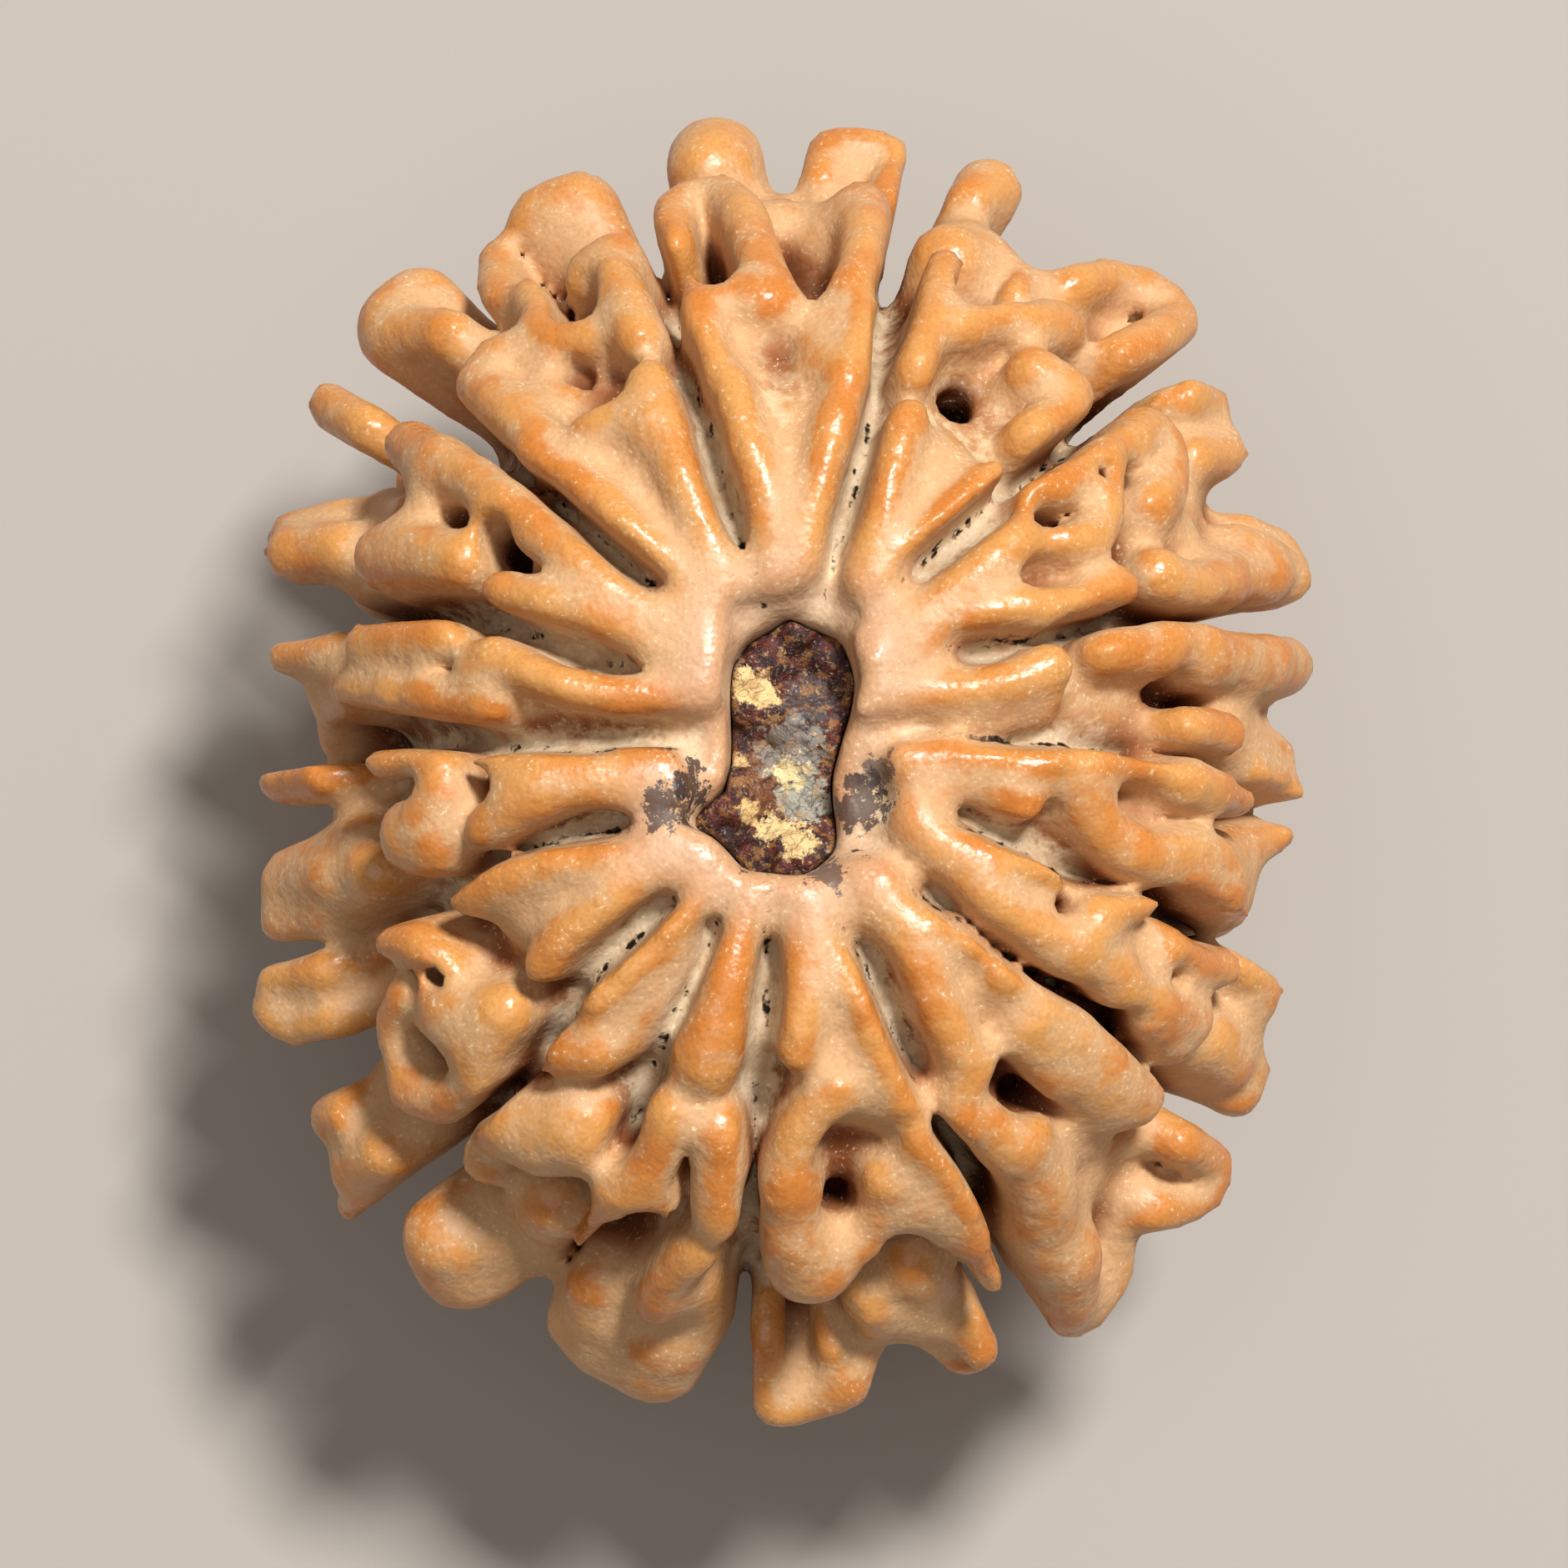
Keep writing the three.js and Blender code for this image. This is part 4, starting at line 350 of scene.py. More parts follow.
@dataclass(frozen=True)
class Relief:
    """The sizes, in millimetres, that turn places on the plan into ribs and folds."""

    mouth_squash: float = 0.86
    dip_depth: float = 1.0
    dip_inner: float = 3.2
    dip_outer: float = 6.8
    tongue_plane: float = 12.0
    tongue_spread: tuple[float, float, float] = (1.025, 1.02, 1.0)
    tongue_shift: float = -0.3
    crown_growth: float = 1.06
    pole_growth: float = 0.06
    side_growth: float = 1.08
    seam_downs: tuple[float, float, float] = (0.06, 0.9, 0.12)
    seam_wave: float = 0.03
    seam_waves: float = 9.0
    rim_sink: float = 1.0
    belt_sink: float = 0.95
    knob: float = 1.1
    seam_room: float = 0.15
    most_turned: float = 0.6
    fold_shift: float = 0.03
    fold_uneven: float = 0.25
    seed: int = 108

    def dip(self, x: Values, y: Values) -> Values:
        """Give how far the crown sinks towards the mouth of the hollow."""
        return self.dip_depth * (1.0 - self.away_from_pole(x, y, self.dip_outer - self.dip_inner))

    def away_from_pole(self, x: Values, y: Values, reach: float) -> Values:
        """Give a share that grows from 0 at the mouth's rim to 1 at a distance from it."""
        return smoothstep((np.hypot(x, y * self.mouth_squash) - self.dip_inner) / reach)

    def crown_line(self, fold: Sequence, growth: float = 0.0) -> Line:
        """Turn plan pairs into a middle line that lies under the crests.

        Args:
            fold: The first and last radius, the lift of the crest, and the x, y pairs.
            growth: What is added to the first radius.

        Returns:
            Rows of x, y, z and radius.
        """
        first, last, lift, plan = fold
        pairs = np.reshape(plan, (-1, 2))
        rows = []
        for (x, y), radius in zip(pairs, np.linspace(first + growth, last, len(pairs)) * self.crown_growth):
            z = crest_height(x, y)
            normal = np.array(outward(x, y, z))
            down = radius + self.dip(x, y) - lift
            rows.append([*(np.array([x, y, z]) - normal * down), radius])
        return np.array(rows)

    def tongue_line(self, tongue: Sequence) -> Line:
        """Turn x, y, z places into a middle line.

        Args:
            tongue: The first and last radius, and the places.

        Returns:
            Rows of x, y, z and radius.
        """
        first, last, places = tongue
        shift = [self.tongue_shift, 0.0, MIDDLE - self.tongue_plane]
        points = np.reshape(places, (-1, 3)) * self.tongue_spread + shift
        radii = np.linspace(first, last, len(points)) * self.side_growth
        radii[-1] *= self.knob
        return np.column_stack([points, radii])

    def clear_of_seam(self, line: Line) -> Line:
        """Turn a tongue that stands on a seam a little round the seed, so that its round end stays whole.

        Args:
            line: Rows of x, y, z and radius.

        Returns:
            The same rows, moved.
        """
        turns = np.arctan2(line[:, 1] / CREST[1], line[:, 0] / CREST[0])
        best = np.full(len(line), math.inf)
        for seam in SEAMS:
            turn = self.seam_turn(seam)
            reach = math.hypot(CREST[0] * math.sin(turn), CREST[1] * math.cos(turn))
            gap = ((turns - turn + math.pi) % (2 * math.pi) - math.pi) * reach
            best = np.where(abs(gap).min() < abs(best).min(), gap, best)
        side = 1.0 if best.sum() > 0.0 else -1.0
        need = float((line[:, 3] + self.seam_room - side * best).max())
        if not 0.0 < need < self.most_turned:
            return line
        moved = line.copy()
        turns = turns + side * need / np.hypot(line[:, 0], line[:, 1])
        scale = np.hypot(line[:, 0] / CREST[0], line[:, 1] / CREST[1])
        moved[:, 0] = CREST[0] * scale * np.cos(turns)
        moved[:, 1] = CREST[1] * scale * np.sin(turns)
        return moved

    def underside_point(self, turn: float, down: float, sink: float, radius: float = 0.0) -> list[float]:
        """Place a point on the lower half.

        Args:
            turn: The angle round the seed, in radians.
            down: The way from the widest section, 0, to the closed pole, 1.
            sink: How far the point lies under the crests.
            radius: The radius there.

        Returns:
            x, y, z and the radius.
        """
        tilt = down * math.pi / 2
        point = CREST * [math.cos(tilt) * math.cos(turn), math.cos(tilt) * math.sin(turn), -math.sin(tilt)]
        point[2] += MIDDLE
        point -= np.array(outward(*point)) * sink
        return [*point, radius]

    @staticmethod
    def seam_turn(seam: Sequence[float]) -> float:
        """Give the angle at which a seam crosses the widest section."""
        return math.atan2(seam[-1] / CREST[1], seam[-2] / CREST[0])

    def seam_lines(self) -> list[Line]:
        """Make each seam's line from the mouth of the hollow down to the closed pole.

        Returns:
            One line for each seam, with no radius.
        """
        lines = []
        for index, seam in enumerate(SEAMS):
            rows = [[x, y, crest_height(x, y), 0.0] for x, y in np.reshape(seam, (-1, 2))]
            for down in np.arange(*self.seam_downs):
                turn = self.seam_turn(seam) + self.seam_wave * math.sin(self.seam_waves * down + index)
                rows.append(self.underside_point(turn, down, 0.0))
            lines.append(np.array(rows))
        return lines

    def underside_lines(self) -> list[Line]:
        """Draw the folds of the flanks and of the underside, face by face, with a seeded draw.

        Returns:
            The folds' lines.
        """
        state = self.seed

        def draw() -> float:
            """Draw the next number from 0 to 1."""
            nonlocal state
            state = (state * DRAW_FACTOR) % DRAW_RANGE
            return state / DRAW_RANGE

        lines = []
        for index, seam in enumerate(SEAMS):
            first = self.seam_turn(seam)
            width = (first - self.seam_turn(SEAMS[(index + 1) % len(SEAMS)])) % (2 * math.pi)

            def add_fold(fold: Sequence[float], radii: Band, sink: float = 0.0) -> None:
                """Add one fold of this face.

                Args:
                    fold: Pairs of the way down and the way across the face.
                    radii: The least and the largest radius.
                    sink: How much deeper than its radius it lies.
                """
                radius = (radii[0] + (radii[1] - radii[0]) * draw()) * self.side_growth
                mirror = -1 if draw() < 0.5 else 1
                shift = self.fold_shift * (draw() - 0.5)
                rows = []
                for down, across in np.reshape(fold, (-1, 2)):
                    turn = first - width * (0.5 + 0.5 * mirror * across)
                    under = radius + self.fold_uneven * draw() + sink
                    rows.append(self.underside_point(turn, down + shift, under, radius))
                lines.append(np.array(rows))

            for fold in POLE_PAIR:
                add_fold(fold, FLANK_RADIUS["pole"])
            for fold in FLANK_FOLDS[int(draw() * len(FLANK_FOLDS))]:
                add_fold(fold, FLANK_RADIUS["flank"])
            for fold in RIM_FOLDS[int(draw() * len(RIM_FOLDS))]:
                add_fold(fold, FLANK_RADIUS["rim"], self.rim_sink)
            for fold in BELT_PAIR:
                add_fold(fold, FLANK_RADIUS["flank"], self.belt_sink)
        return lines

    def lines(self) -> list[Line]:
        """Give every rib, shelf, fold and tongue of the stone."""
        ribs = [self.crown_line(rib, self.pole_growth) for rib in POLE_RIBS]
        folds = [self.crown_line(fold) for fold in (*SHELVES, *FOLDS)]
        tongues = [self.clear_of_seam(self.tongue_line(tongue)) for tongue in TONGUES]
        return [*ribs, *folds, *tongues, *self.underside_lines()]


class VoxelBlock:
    """A regular block of points that holds values of a form, in millimetres."""

    def __init__(self, low: Sequence[float], high: Sequence[float], step: float) -> None:
        """Lay out the block.

        Args:
            low: The lowest corner.
            high: The highest corner.
            step: The distance between points.
        """
        self.low = np.array(low, float)
        self.step = step
        self.shape = tuple(int(math.ceil((b - a) / step)) + 1 for a, b in zip(low, high))

    def full(self, value: float) -> Values:
        """Make a block of one value."""
        return np.full(self.shape, value, np.float32)

    def window(self, low: Values, high: Values) -> tuple[tuple[slice, ...], list[Values]]:
        """Find the points in a box.

        Args:
            low: The box's lowest corner.
            high: The box's highest corner.

        Returns:
            The slices of the block, and the places along each axis, shaped to be combined.
        """
        first = np.clip(np.floor((low - self.low) / self.step).astype(int), 0, np.array(self.shape) - 1)
        last = np.clip(np.ceil((high - self.low) / self.step).astype(int), 0, np.array(self.shape) - 1)
        slices = tuple(slice(a, b + 1) for a, b in zip(first, last))
        axes = []
        for axis in range(3):
            form = [1, 1, 1]
            form[axis] = -1
            places = self.low[axis] + self.step * np.arange(first[axis], last[axis] + 1)
            axes.append(places.astype(np.float32).reshape(form))
        return slices, axes

    def whole(self) -> list[Values]:
        """Give the places along each axis for the whole block."""
        return self.window(self.low, self.low + self.step * np.array(self.shape))[1]

    def near(self, line: Line, reach: float, depth: float) -> tuple[tuple[slice, ...], list[Values]]:
        """Find the points near a line and between it and the body.

        Args:
            line: Rows of x, y, z and radius.
            reach: How far from the line the points may lie.
            depth: How far below it the body is.

        Returns:
            The slices of the block, and the places along each axis.
        """
        normals = np.column_stack(outward(line[:, 0], line[:, 1], line[:, 2]))
        sunk = line[:, :3] - normals * depth
        spread = line[:, 3:] + reach
        low = np.minimum(line[:, :3] - spread, sunk - spread).min(axis=0)
        high = np.maximum(line[:, :3] + spread, sunk + spread).max(axis=0)
        return self.window(low, high)

    def sample(self, values: Values, points: Values) -> Values:
        """Read values between the block's points.

        Args:
            values: A block of values.
            points: Rows of x, y, z.

        Returns:
            One value for each row.
        """
        at = (points - self.low) / self.step
        first = np.clip(np.floor(at).astype(int), 0, np.array(self.shape) - 2)
        share = np.clip(at - first, 0.0, 1.0)
        total = np.zeros(len(points))
        for corner in range(8):
            bits = np.array([corner & 1, corner >> 1 & 1, corner >> 2 & 1])
            weight = np.where(bits, share, 1.0 - share).prod(axis=1)
            i, j, k = (first + bits).T
            total += weight * values[i, j, k]
        return total


def chain_distance(line: Line, axes: Sequence[Values], inward: float, outward_share: float) -> Values:
    """Measure the distance from points to a chain of round cones.

    Below its middle line the chain is drawn out towards the body, so that it stands on the body as a rib.

    Args:
        line: Rows of x, y, z and radius.
        axes: The places along each axis.
        inward: The share of the distance below the line that counts.
        outward_share: The share of the distance above the line that counts.

    Returns:
        The signed distances.
    """
    x, y, z = axes
    nx, ny, nz = outward(x, y, z)
    best: Values | None = None
    for start, end in zip(line[:-1], line[1:]):
        way = end[:3] - start[:3]
        px, py, pz = x - start[0], y - start[1], z - start[2]
        along = np.clip((px * way[0] + py * way[1] + pz * way[2]) / float(way @ way + 1e-9), 0.0, 1.0)
        ex, ey, ez = px - along * way[0], py - along * way[1], pz - along * way[2]
        rise = ex * nx + ey * ny + ez * nz
        kept = np.where(rise < 0.0, inward, outward_share)
        flat = ex * ex + ey * ey + ez * ez - rise * rise
        radius = start[3] + along * (end[3] - start[3])
        away = np.sqrt(np.maximum(flat, 0.0) + (rise * kept) ** 2) - radius
        best = away if best is None else np.minimum(best, away)
    return best


def outline_distance(outline: Sequence[float], x: Values, y: Values) -> Values:
    """Measure the signed plan distance to a closed outline.

    Args:
        outline: The x, y pairs of its corners.
        x: Places along X, in millimetres.
        y: Places along Y.

    Returns:
        The distances, negative inside.
    """
    points = np.reshape(outline, (-1, 2))
    nearest = np.full(np.broadcast(x, y).shape, math.inf)
    inside = np.zeros(nearest.shape, bool)
    for (ax, ay), (bx, by) in zip(points, np.roll(points, 1, axis=0)):
        span = (bx - ax) ** 2 + (by - ay) ** 2
        along = np.clip(((x - ax) * (bx - ax) + (y - ay) * (by - ay)) / span, 0.0, 1.0)
        nearest = np.minimum(nearest, np.hypot(x - ax - along * (bx - ax), y - ay - along * (by - ay)))
        if ay != by:
            crosses = (ay > y) != (by > y)
            inside ^= crosses & (x < (bx - ax) * (y - ay) / (by - ay) + ax)
    return np.where(inside, -nearest, nearest)


def smooth_max(a: Values, b: Values, width: float) -> Values:
    """Take the larger of two values, with a join rounded over a width."""
    mix = np.clip(0.5 + 0.5 * (a - b) / width, 0.0, 1.0)
    return b + (a - b) * mix + width * mix * (1.0 - mix)


def box_blur(values: Values, reach: int) -> Values:
    """Average a block over a cube of points.

    Args:
        values: The block.
        reach: How many points the cube reaches each way.

    Returns:
        The averaged block.
    """
    for axis in range(3):
        pad = [(0, 0)] * 3
        pad[axis] = (reach + 1, reach)
        total = np.cumsum(np.pad(values, pad, mode="edge"), axis=axis, dtype=np.float64)
        size = values.shape[axis]
        high = np.take(total, np.arange(2 * reach + 1, 2 * reach + 1 + size), axis=axis)
        low = np.take(total, np.arange(0, size), axis=axis)
        values = ((high - low) / (2 * reach + 1)).astype(np.float32)
    return values
def linear(hex_colour: str) -> Colour:
    """Turn an sRGB hex colour to a linear one."""
    parts = [int(hex_colour[i : i + 2], 16) / 255 for i in (1, 3, 5)]
    return (*(c / 12.92 if c <= 0.04045 else ((c + 0.055) / 1.055) ** 2.4 for c in parts), 1.0)


class Kind(Enum):
    """The nodes in use: the type, its settings, the inputs in the order they are given, and the output."""

    HELD = ("ShaderNodeAttribute", {}, (), "Fac")
    PLACE = ("ShaderNodeTexCoord", {}, (), "Object")
    NOISE = ("ShaderNodeTexNoise", {}, ("Vector", "Scale", "Detail", "Roughness"), "Fac")
    BAND = ("ShaderNodeMapRange", {"interpolation_type": "SMOOTHSTEP"}, (0, 1, 2, 3, 4), 0)
    PLUS = ("ShaderNodeMath", {"operation": "ADD"}, (0, 1), 0)
    TIMES = ("ShaderNodeMath", {"operation": "MULTIPLY"}, (0, 1), 0)
    SCALED = ("ShaderNodeMath", {"operation": "MULTIPLY_ADD"}, (0, 1, 2), 0)
    UNSIGNED = ("ShaderNodeMath", {"operation": "ABSOLUTE"}, (0,), 0)
    MOVED = ("ShaderNodeVectorMath", {"operation": "ADD"}, (0, 1), 0)
    FLATTENED = ("ShaderNodeVectorMath", {"operation": "MULTIPLY"}, (0, 1), 0)
    AWAY = ("ShaderNodeVectorMath", {"operation": "DISTANCE"}, (0, 1), "Value")
    MIX = ("ShaderNodeMix", {"data_type": "RGBA"}, (0, 6, 7), 2)
    BUMP = ("ShaderNodeBump", {}, ("Strength", "Distance", "Height"), 0)


@dataclass(frozen=True)
class Grain:
    """Noise by the real size of its lumps, in millimetres."""

    size: float
    detail: float = 3.0
    rough: float = 0.5
    shift: float = 0.0


@dataclass(frozen=True)
class Patch:
    """A ragged patch of colour over a place of the plan, in millimetres."""

    x: float
    y: float
    radius: float
    ragged: float
    colour: str
    share: float


# The edge of every patch: the detail, roughness and shift of its grain, and its softness in millimetres
PATCH_EDGE = (4.0, 0.75, 9.0)
PATCH_SOFTNESS = 0.08


class Surface:
    """A material under construction."""

    def __init__(self, name: str) -> None:
        """Start a node material with its shader.

        Args:
            name: The material's name.
        """
        self.material = bpy.data.materials.new(name)
        self.material.use_nodes = True
        self.tree = self.material.node_tree
        self.shader = self.tree.nodes["Principled BSDF"]
        self.grains: dict[Grain, Socket] = {}

    def add(self, kind: Kind, *inputs: object, **settings: object) -> Socket:
        """Add a node with its settings and links.

        Args:
            kind: What the node is. Factors past the second take a node each.
            inputs: Outputs to link, grains, or plain values.
            settings: Values for the node's own properties.

        Returns:
            The node's output.
        """
        if kind is Kind.TIMES and len(inputs) > 2:
            inputs = (self.add(kind, *inputs[:-1]), inputs[-1])
        type_name, own, slots, output = kind.value
        node = self.tree.nodes.new(type_name)
        for key, value in {**own, **settings}.items():
            setattr(node, key, value)
        for slot, value in zip(slots, inputs):
            self.put(node.inputs[slot], value)
        return node.outputs[output]

    def put(self, slot: Socket, value: object) -> None:
        """Link an output or a grain to an input, or set the input's own value.

        Args:
            slot: The input.
            value: What goes into it.
        """
        if isinstance(value, Grain):
            if value not in self.grains:
                shift = (value.shift, 2 * value.shift, 3 * value.shift)
                place = self.add(Kind.MOVED, self.add(Kind.PLACE), shift)
                scale = 1 / (value.size * MM)
                self.grains[value] = self.add(Kind.NOISE, place, scale, value.detail, value.rough)
            value = self.grains[value]
        if isinstance(value, Socket):
            self.tree.links.new(value, slot)
        else:
            slot.default_value = value

    def ragged(self, value: Socket, grain: Grain, amount: float) -> Socket:
        """Move a value up and down by a grain, so that what is cut from it has ragged limits."""
        return self.add(Kind.PLUS, value, self.add(Kind.SCALED, grain, amount, -amount / 2))

    def patch(self, patch: Patch, size: float) -> Socket:
        """Make a ragged patch.

        Args:
            patch: Its place, radius and raggedness.
            size: The size of the lumps of its edge, in millimetres.

        Returns:
            Its share of the colour, over the whole surface.
        """
        flat = self.add(Kind.FLATTENED, self.add(Kind.PLACE), (1.0, 1.0, 0.0))
        away = self.add(Kind.AWAY, flat, (patch.x * MM, patch.y * MM, 0.0))
        away = self.ragged(away, Grain(size, *PATCH_EDGE), patch.ragged * MM)
        outer, inner = ((patch.radius + side * PATCH_SOFTNESS) * MM for side in (1, -1))
        return self.add(Kind.TIMES, self.add(Kind.BAND, away, outer, inner), patch.share)

    def layer(self, colour: object, layers: Sequence[tuple[Socket, object]]) -> Socket:
        """Lay colours over a colour.

        Args:
            colour: The lowest colour.
            layers: The share of each layer and its colour, as hex or as an output, from the lowest up.

        Returns:
            The mixed colour.
        """
        for share, tint in layers:
            colour = self.add(Kind.MIX, share, colour, linear(tint) if isinstance(tint, str) else tint)
        return colour

    def between(self, share: Socket, first: str, second: str) -> Socket:
        """Mix two hex colours by a share of the second."""
        return self.add(Kind.MIX, share, linear(first), linear(second))


# Dark juice that has dried on the rim of the mouth
RIM_SMEARS = [
    Patch(1.75, -1.6, 0.6, 2.4, "#2A2226", 0.85),
    Patch(2.2, -0.9, 0.4, 2.4, "#453A3C", 0.75),
    Patch(-2.3, -1.2, 0.45, 2.4, "#241A1B", 0.9),
    Patch(-2.85, -1.8, 0.5, 2.4, "#33292C", 0.85),
    Patch(0.9, -3.3, 0.4, 2.4, "#3B3338", 0.75),
]

# Brown and grey bloom and cream flakes of dried skin on the pulp
PULP_PATCHES = [
    Patch(-0.1, -0.9, 1.1, 2.2, "#7A4A2C", 0.8),
    Patch(0.5, 0.9, 0.7, 2.4, "#55504F", 0.7),
    Patch(0.05, -0.35, 0.85, 2.4, "#8E8B82", 0.75),
    Patch(0.35, -1.35, 0.62, 2.0, "#A9AA9A", 0.8),
    Patch(-0.9, 1.2, 0.45, 1.3, "#EDC888", 0.95),
    Patch(-0.5, 1.0, 0.28, 1.2, "#EDC888", 0.95),
    Patch(0.0, -0.75, 0.36, 1.6, "#E8D39A", 0.95),
    Patch(-1.2, -0.5, 0.2, 0.9, "#E6C084", 0.9),
    Patch(-0.95, -1.75, 0.25, 1.0, "#E6C07E", 0.95),
    Patch(-0.35, -2.1, 0.34, 1.5, "#E9C88C", 0.9),
    Patch(0.25, -2.45, 0.42, 1.6, "#E9C88C", 0.95),
]


@dataclass(frozen=True)
class WaxedStoneFinish:
    """The woody stone's skin: grown, dense and hard, and slightly waxed by handling.

    The crests are rubbed orange and shine, the flanks stay paler and dull, and fruit dust lies in the
    valleys and along the seams, so that the relief reads by its colour too. Painted shade darkens the deep
    gaps and the upper walls inside the mouth.
    """

    crest: str = "#BF7431"
    crest_light: str = "#C78C4C"
    flank: str = "#C5996B"
    tan: str = "#B98D5E"
    valley: str = "#D8C097"
    # Painted shade with a red-brown stain for the deep gaps; also the colour of the dark specks
    hollow: str = "#7C3C17"
    # Painted shade, near black, for the deepest gaps
    shade: str = "#2E0D05"
    rim: str = "#C49B78"
    dust: str = "#E6D6B4"
    crack: str = "#1E140E"
    # Painted shade on the upper walls inside the mouth
    mouth_wall_shade: str = "#2A1412"
    mottle: Grain = Grain(0.8, 3.0, 0.65, 1.0)
    # Real dust grains are under 0.05 mm, too fine to show, so they are drawn at 0.12 mm.
    fine: Grain = Grain(0.12, 2.0, 0.6, 2.0)
    crest_grain: Grain = Grain(2.6)
    floor_grain: Grain = Grain(0.5, 3.0, 0.65, 3.0)
    seam_grain: Grain = Grain(0.7, 3.0, 0.7, 4.0)
    crack_grain: Grain = Grain(0.35, 2.0, 0.7, 8.0)
    skin_grain: Grain = Grain(0.45, 2.0, 0.6, 10.0)
    smear_lump: float = 0.5
    # How closed in a point is where the crest gives way to the flank, the valley, and the painted shade of
    # the hollows and deepest gaps
    flank_from: Band = (0.38, 0.5)
    valley_from: Band = (0.44, 0.56)
    hollow_shade_from: Band = (0.56, 0.72)
    shade_from: Band = (0.66, 0.82)
    # Heights over the body, in millimetres
    valley_rise: Band = (0.9, 0.1)
    dust_rise: Band = (1.2, 0.5)
    crack_rise: Band = (1.6, 0.9)
    # Distances from a seam, and from the mouth, in millimetres
    dust_reach: Band = (0.85, 0.35)
    crack_reach: Band = (0.12, 0.06)
    rim_reach: Band = (2.0, 0.4)
    smear_reach: Band = (4.5, 3.5)
    mouth_wall_shade_reach: Band = (0.05, -0.2)
    # The shares of what lies thinly, and how much of the hollows' painted shade dust leaves
    rim_share: float = 0.75
    hollow_shade_share: float = 0.85
    shade_share: float = 0.94
    speck_share: float = 0.5
    pore_share: float = 0.12
    dust_cover: float = -0.7
    # Gloss: the crests are waxed and the flanks dull, and sheltered places don't shine
    gloss: Band = (0.3, 0.72)
    gloss_from: Band = (0.38, 0.52)
    gloss_uneven: float = 0.35
    speck_dull: float = 0.4
    shine: Band = (0.5, 0.08)
    shine_from: Band = (0.55, 0.75)
    bump: Band = (0.6, 0.1 * MM)
    crack_depth: float = -2.0

    def smears(self, s: Surface) -> list[tuple[Socket, str]]:
        """Make the share and the colour of each smear of juice."""
        return [(s.patch(smear, self.smear_lump), smear.colour) for smear in RIM_SMEARS]

    def build(self) -> bpy.types.Material:
        """Build the material.

        Returns:
            The material, which reads the numbers that the stone's vertices hold.
        """
        s = Surface("waxed_woody_stone")
        names = ("rise", "seam", "closed_in", "sheltered", "mouth")
        rise, seam, closed, sheltered, mouth = (s.add(Kind.HELD, attribute_name=name) for name in names)
        edge = s.ragged(closed, self.mottle, 0.3)
        low = s.add(Kind.BAND, s.ragged(rise, self.mottle, 1.6), *self.valley_rise)
        floor = s.between(s.add(Kind.BAND, self.floor_grain, 0.42, 0.6), self.tan, self.valley)
        by_seam = s.add(Kind.BAND, s.ragged(seam, self.seam_grain, 1.3), *self.dust_reach)
        dusty = s.add(Kind.TIMES, by_seam, s.add(Kind.BAND, rise, *self.dust_rise))
        bare = s.add(Kind.SCALED, dusty, self.dust_cover, 1.0)
        clumps = s.add(Kind.BAND, self.mottle, 0.4, 0.6)
        speck = s.add(Kind.TIMES, s.add(Kind.BAND, self.fine, 0.62, 0.68), clumps, self.speck_share)
        pore = s.add(Kind.TIMES, s.add(Kind.BAND, self.fine, 0.5, 0.38), self.pore_share)
        top = s.add(Kind.BAND, mouth, *self.smear_reach)
        worn = s.add(Kind.BAND, s.ragged(mouth, self.mottle, 1.5), *self.rim_reach)
        thin = s.add(Kind.BAND, s.ragged(seam, self.crack_grain, 0.34), *self.crack_reach)
        crack = s.add(Kind.TIMES, thin, s.add(Kind.BAND, rise, *self.crack_rise))
        rubbed = s.between(s.add(Kind.BAND, self.crest_grain, 0.38, 0.62), self.crest, self.crest_light)
        # Painted shade: the more closed in a point is, the darker its gap is painted
        gap = s.add(Kind.BAND, sheltered, *self.hollow_shade_from)
        deep = s.add(Kind.BAND, sheltered, *self.shade_from)
        colour = s.layer(rubbed, [
            # Duller flanks under rubbed crests: the eye reads handling and wax.
            (s.add(Kind.BAND, edge, *self.flank_from), self.flank),
            # Dust in the valleys, palest along the seams: the eye reads depth.
            (s.add(Kind.TIMES, low, s.add(Kind.BAND, edge, *self.valley_from)), floor),
            (s.add(Kind.TIMES, dusty, s.add(Kind.BAND, self.mottle, 0.3, 0.6, 0.35, 0.9)), self.dust),
            # Painted shade with a red-brown stain darkens the deep gaps, near black in the deepest: the eye
            # reads how far the ribs stand out.
            (s.add(Kind.TIMES, gap, bare, self.hollow_shade_share), self.hollow),
            (s.add(Kind.TIMES, deep, bare, self.shade_share), self.shade),
            # The mouth's rim is pale and worn, with dried juice on it: the eye reads that fruit grew here.
            (s.add(Kind.TIMES, worn, self.rim_share), self.rim),
            *((s.add(Kind.TIMES, share, top), tint) for share, tint in self.smears(s)),
            # Painted shade: dark brown on the upper walls inside the mouth
            (s.add(Kind.BAND, mouth, *self.mouth_wall_shade_reach), self.mouth_wall_shade),
            # Pale and dark specks all over: the eye reads a dry, real skin.
            (speck, self.dust),
            (pore, self.hollow),
            # Black hair cracks along the seams: the eye reads where the faces part.
            (crack, self.crack),
        ])
        s.put(s.shader.inputs["Base Color"], colour)
        dull = s.add(Kind.BAND, closed, *self.gloss_from, *self.gloss)
        rough = s.ragged(dull, self.fine, self.gloss_uneven)
        rough = s.add(Kind.PLUS, rough, s.add(Kind.TIMES, speck, self.speck_dull))
        s.put(s.shader.inputs["Roughness"], rough)
        shine = s.add(Kind.BAND, sheltered, *self.shine_from, *self.shine)
        s.put(s.shader.inputs["Specular IOR Level"], shine)
        height = s.add(Kind.SCALED, crack, self.crack_depth, self.skin_grain)
        s.put(s.shader.inputs["Normal"], s.add(Kind.BUMP, *self.bump, height))
        return s.material


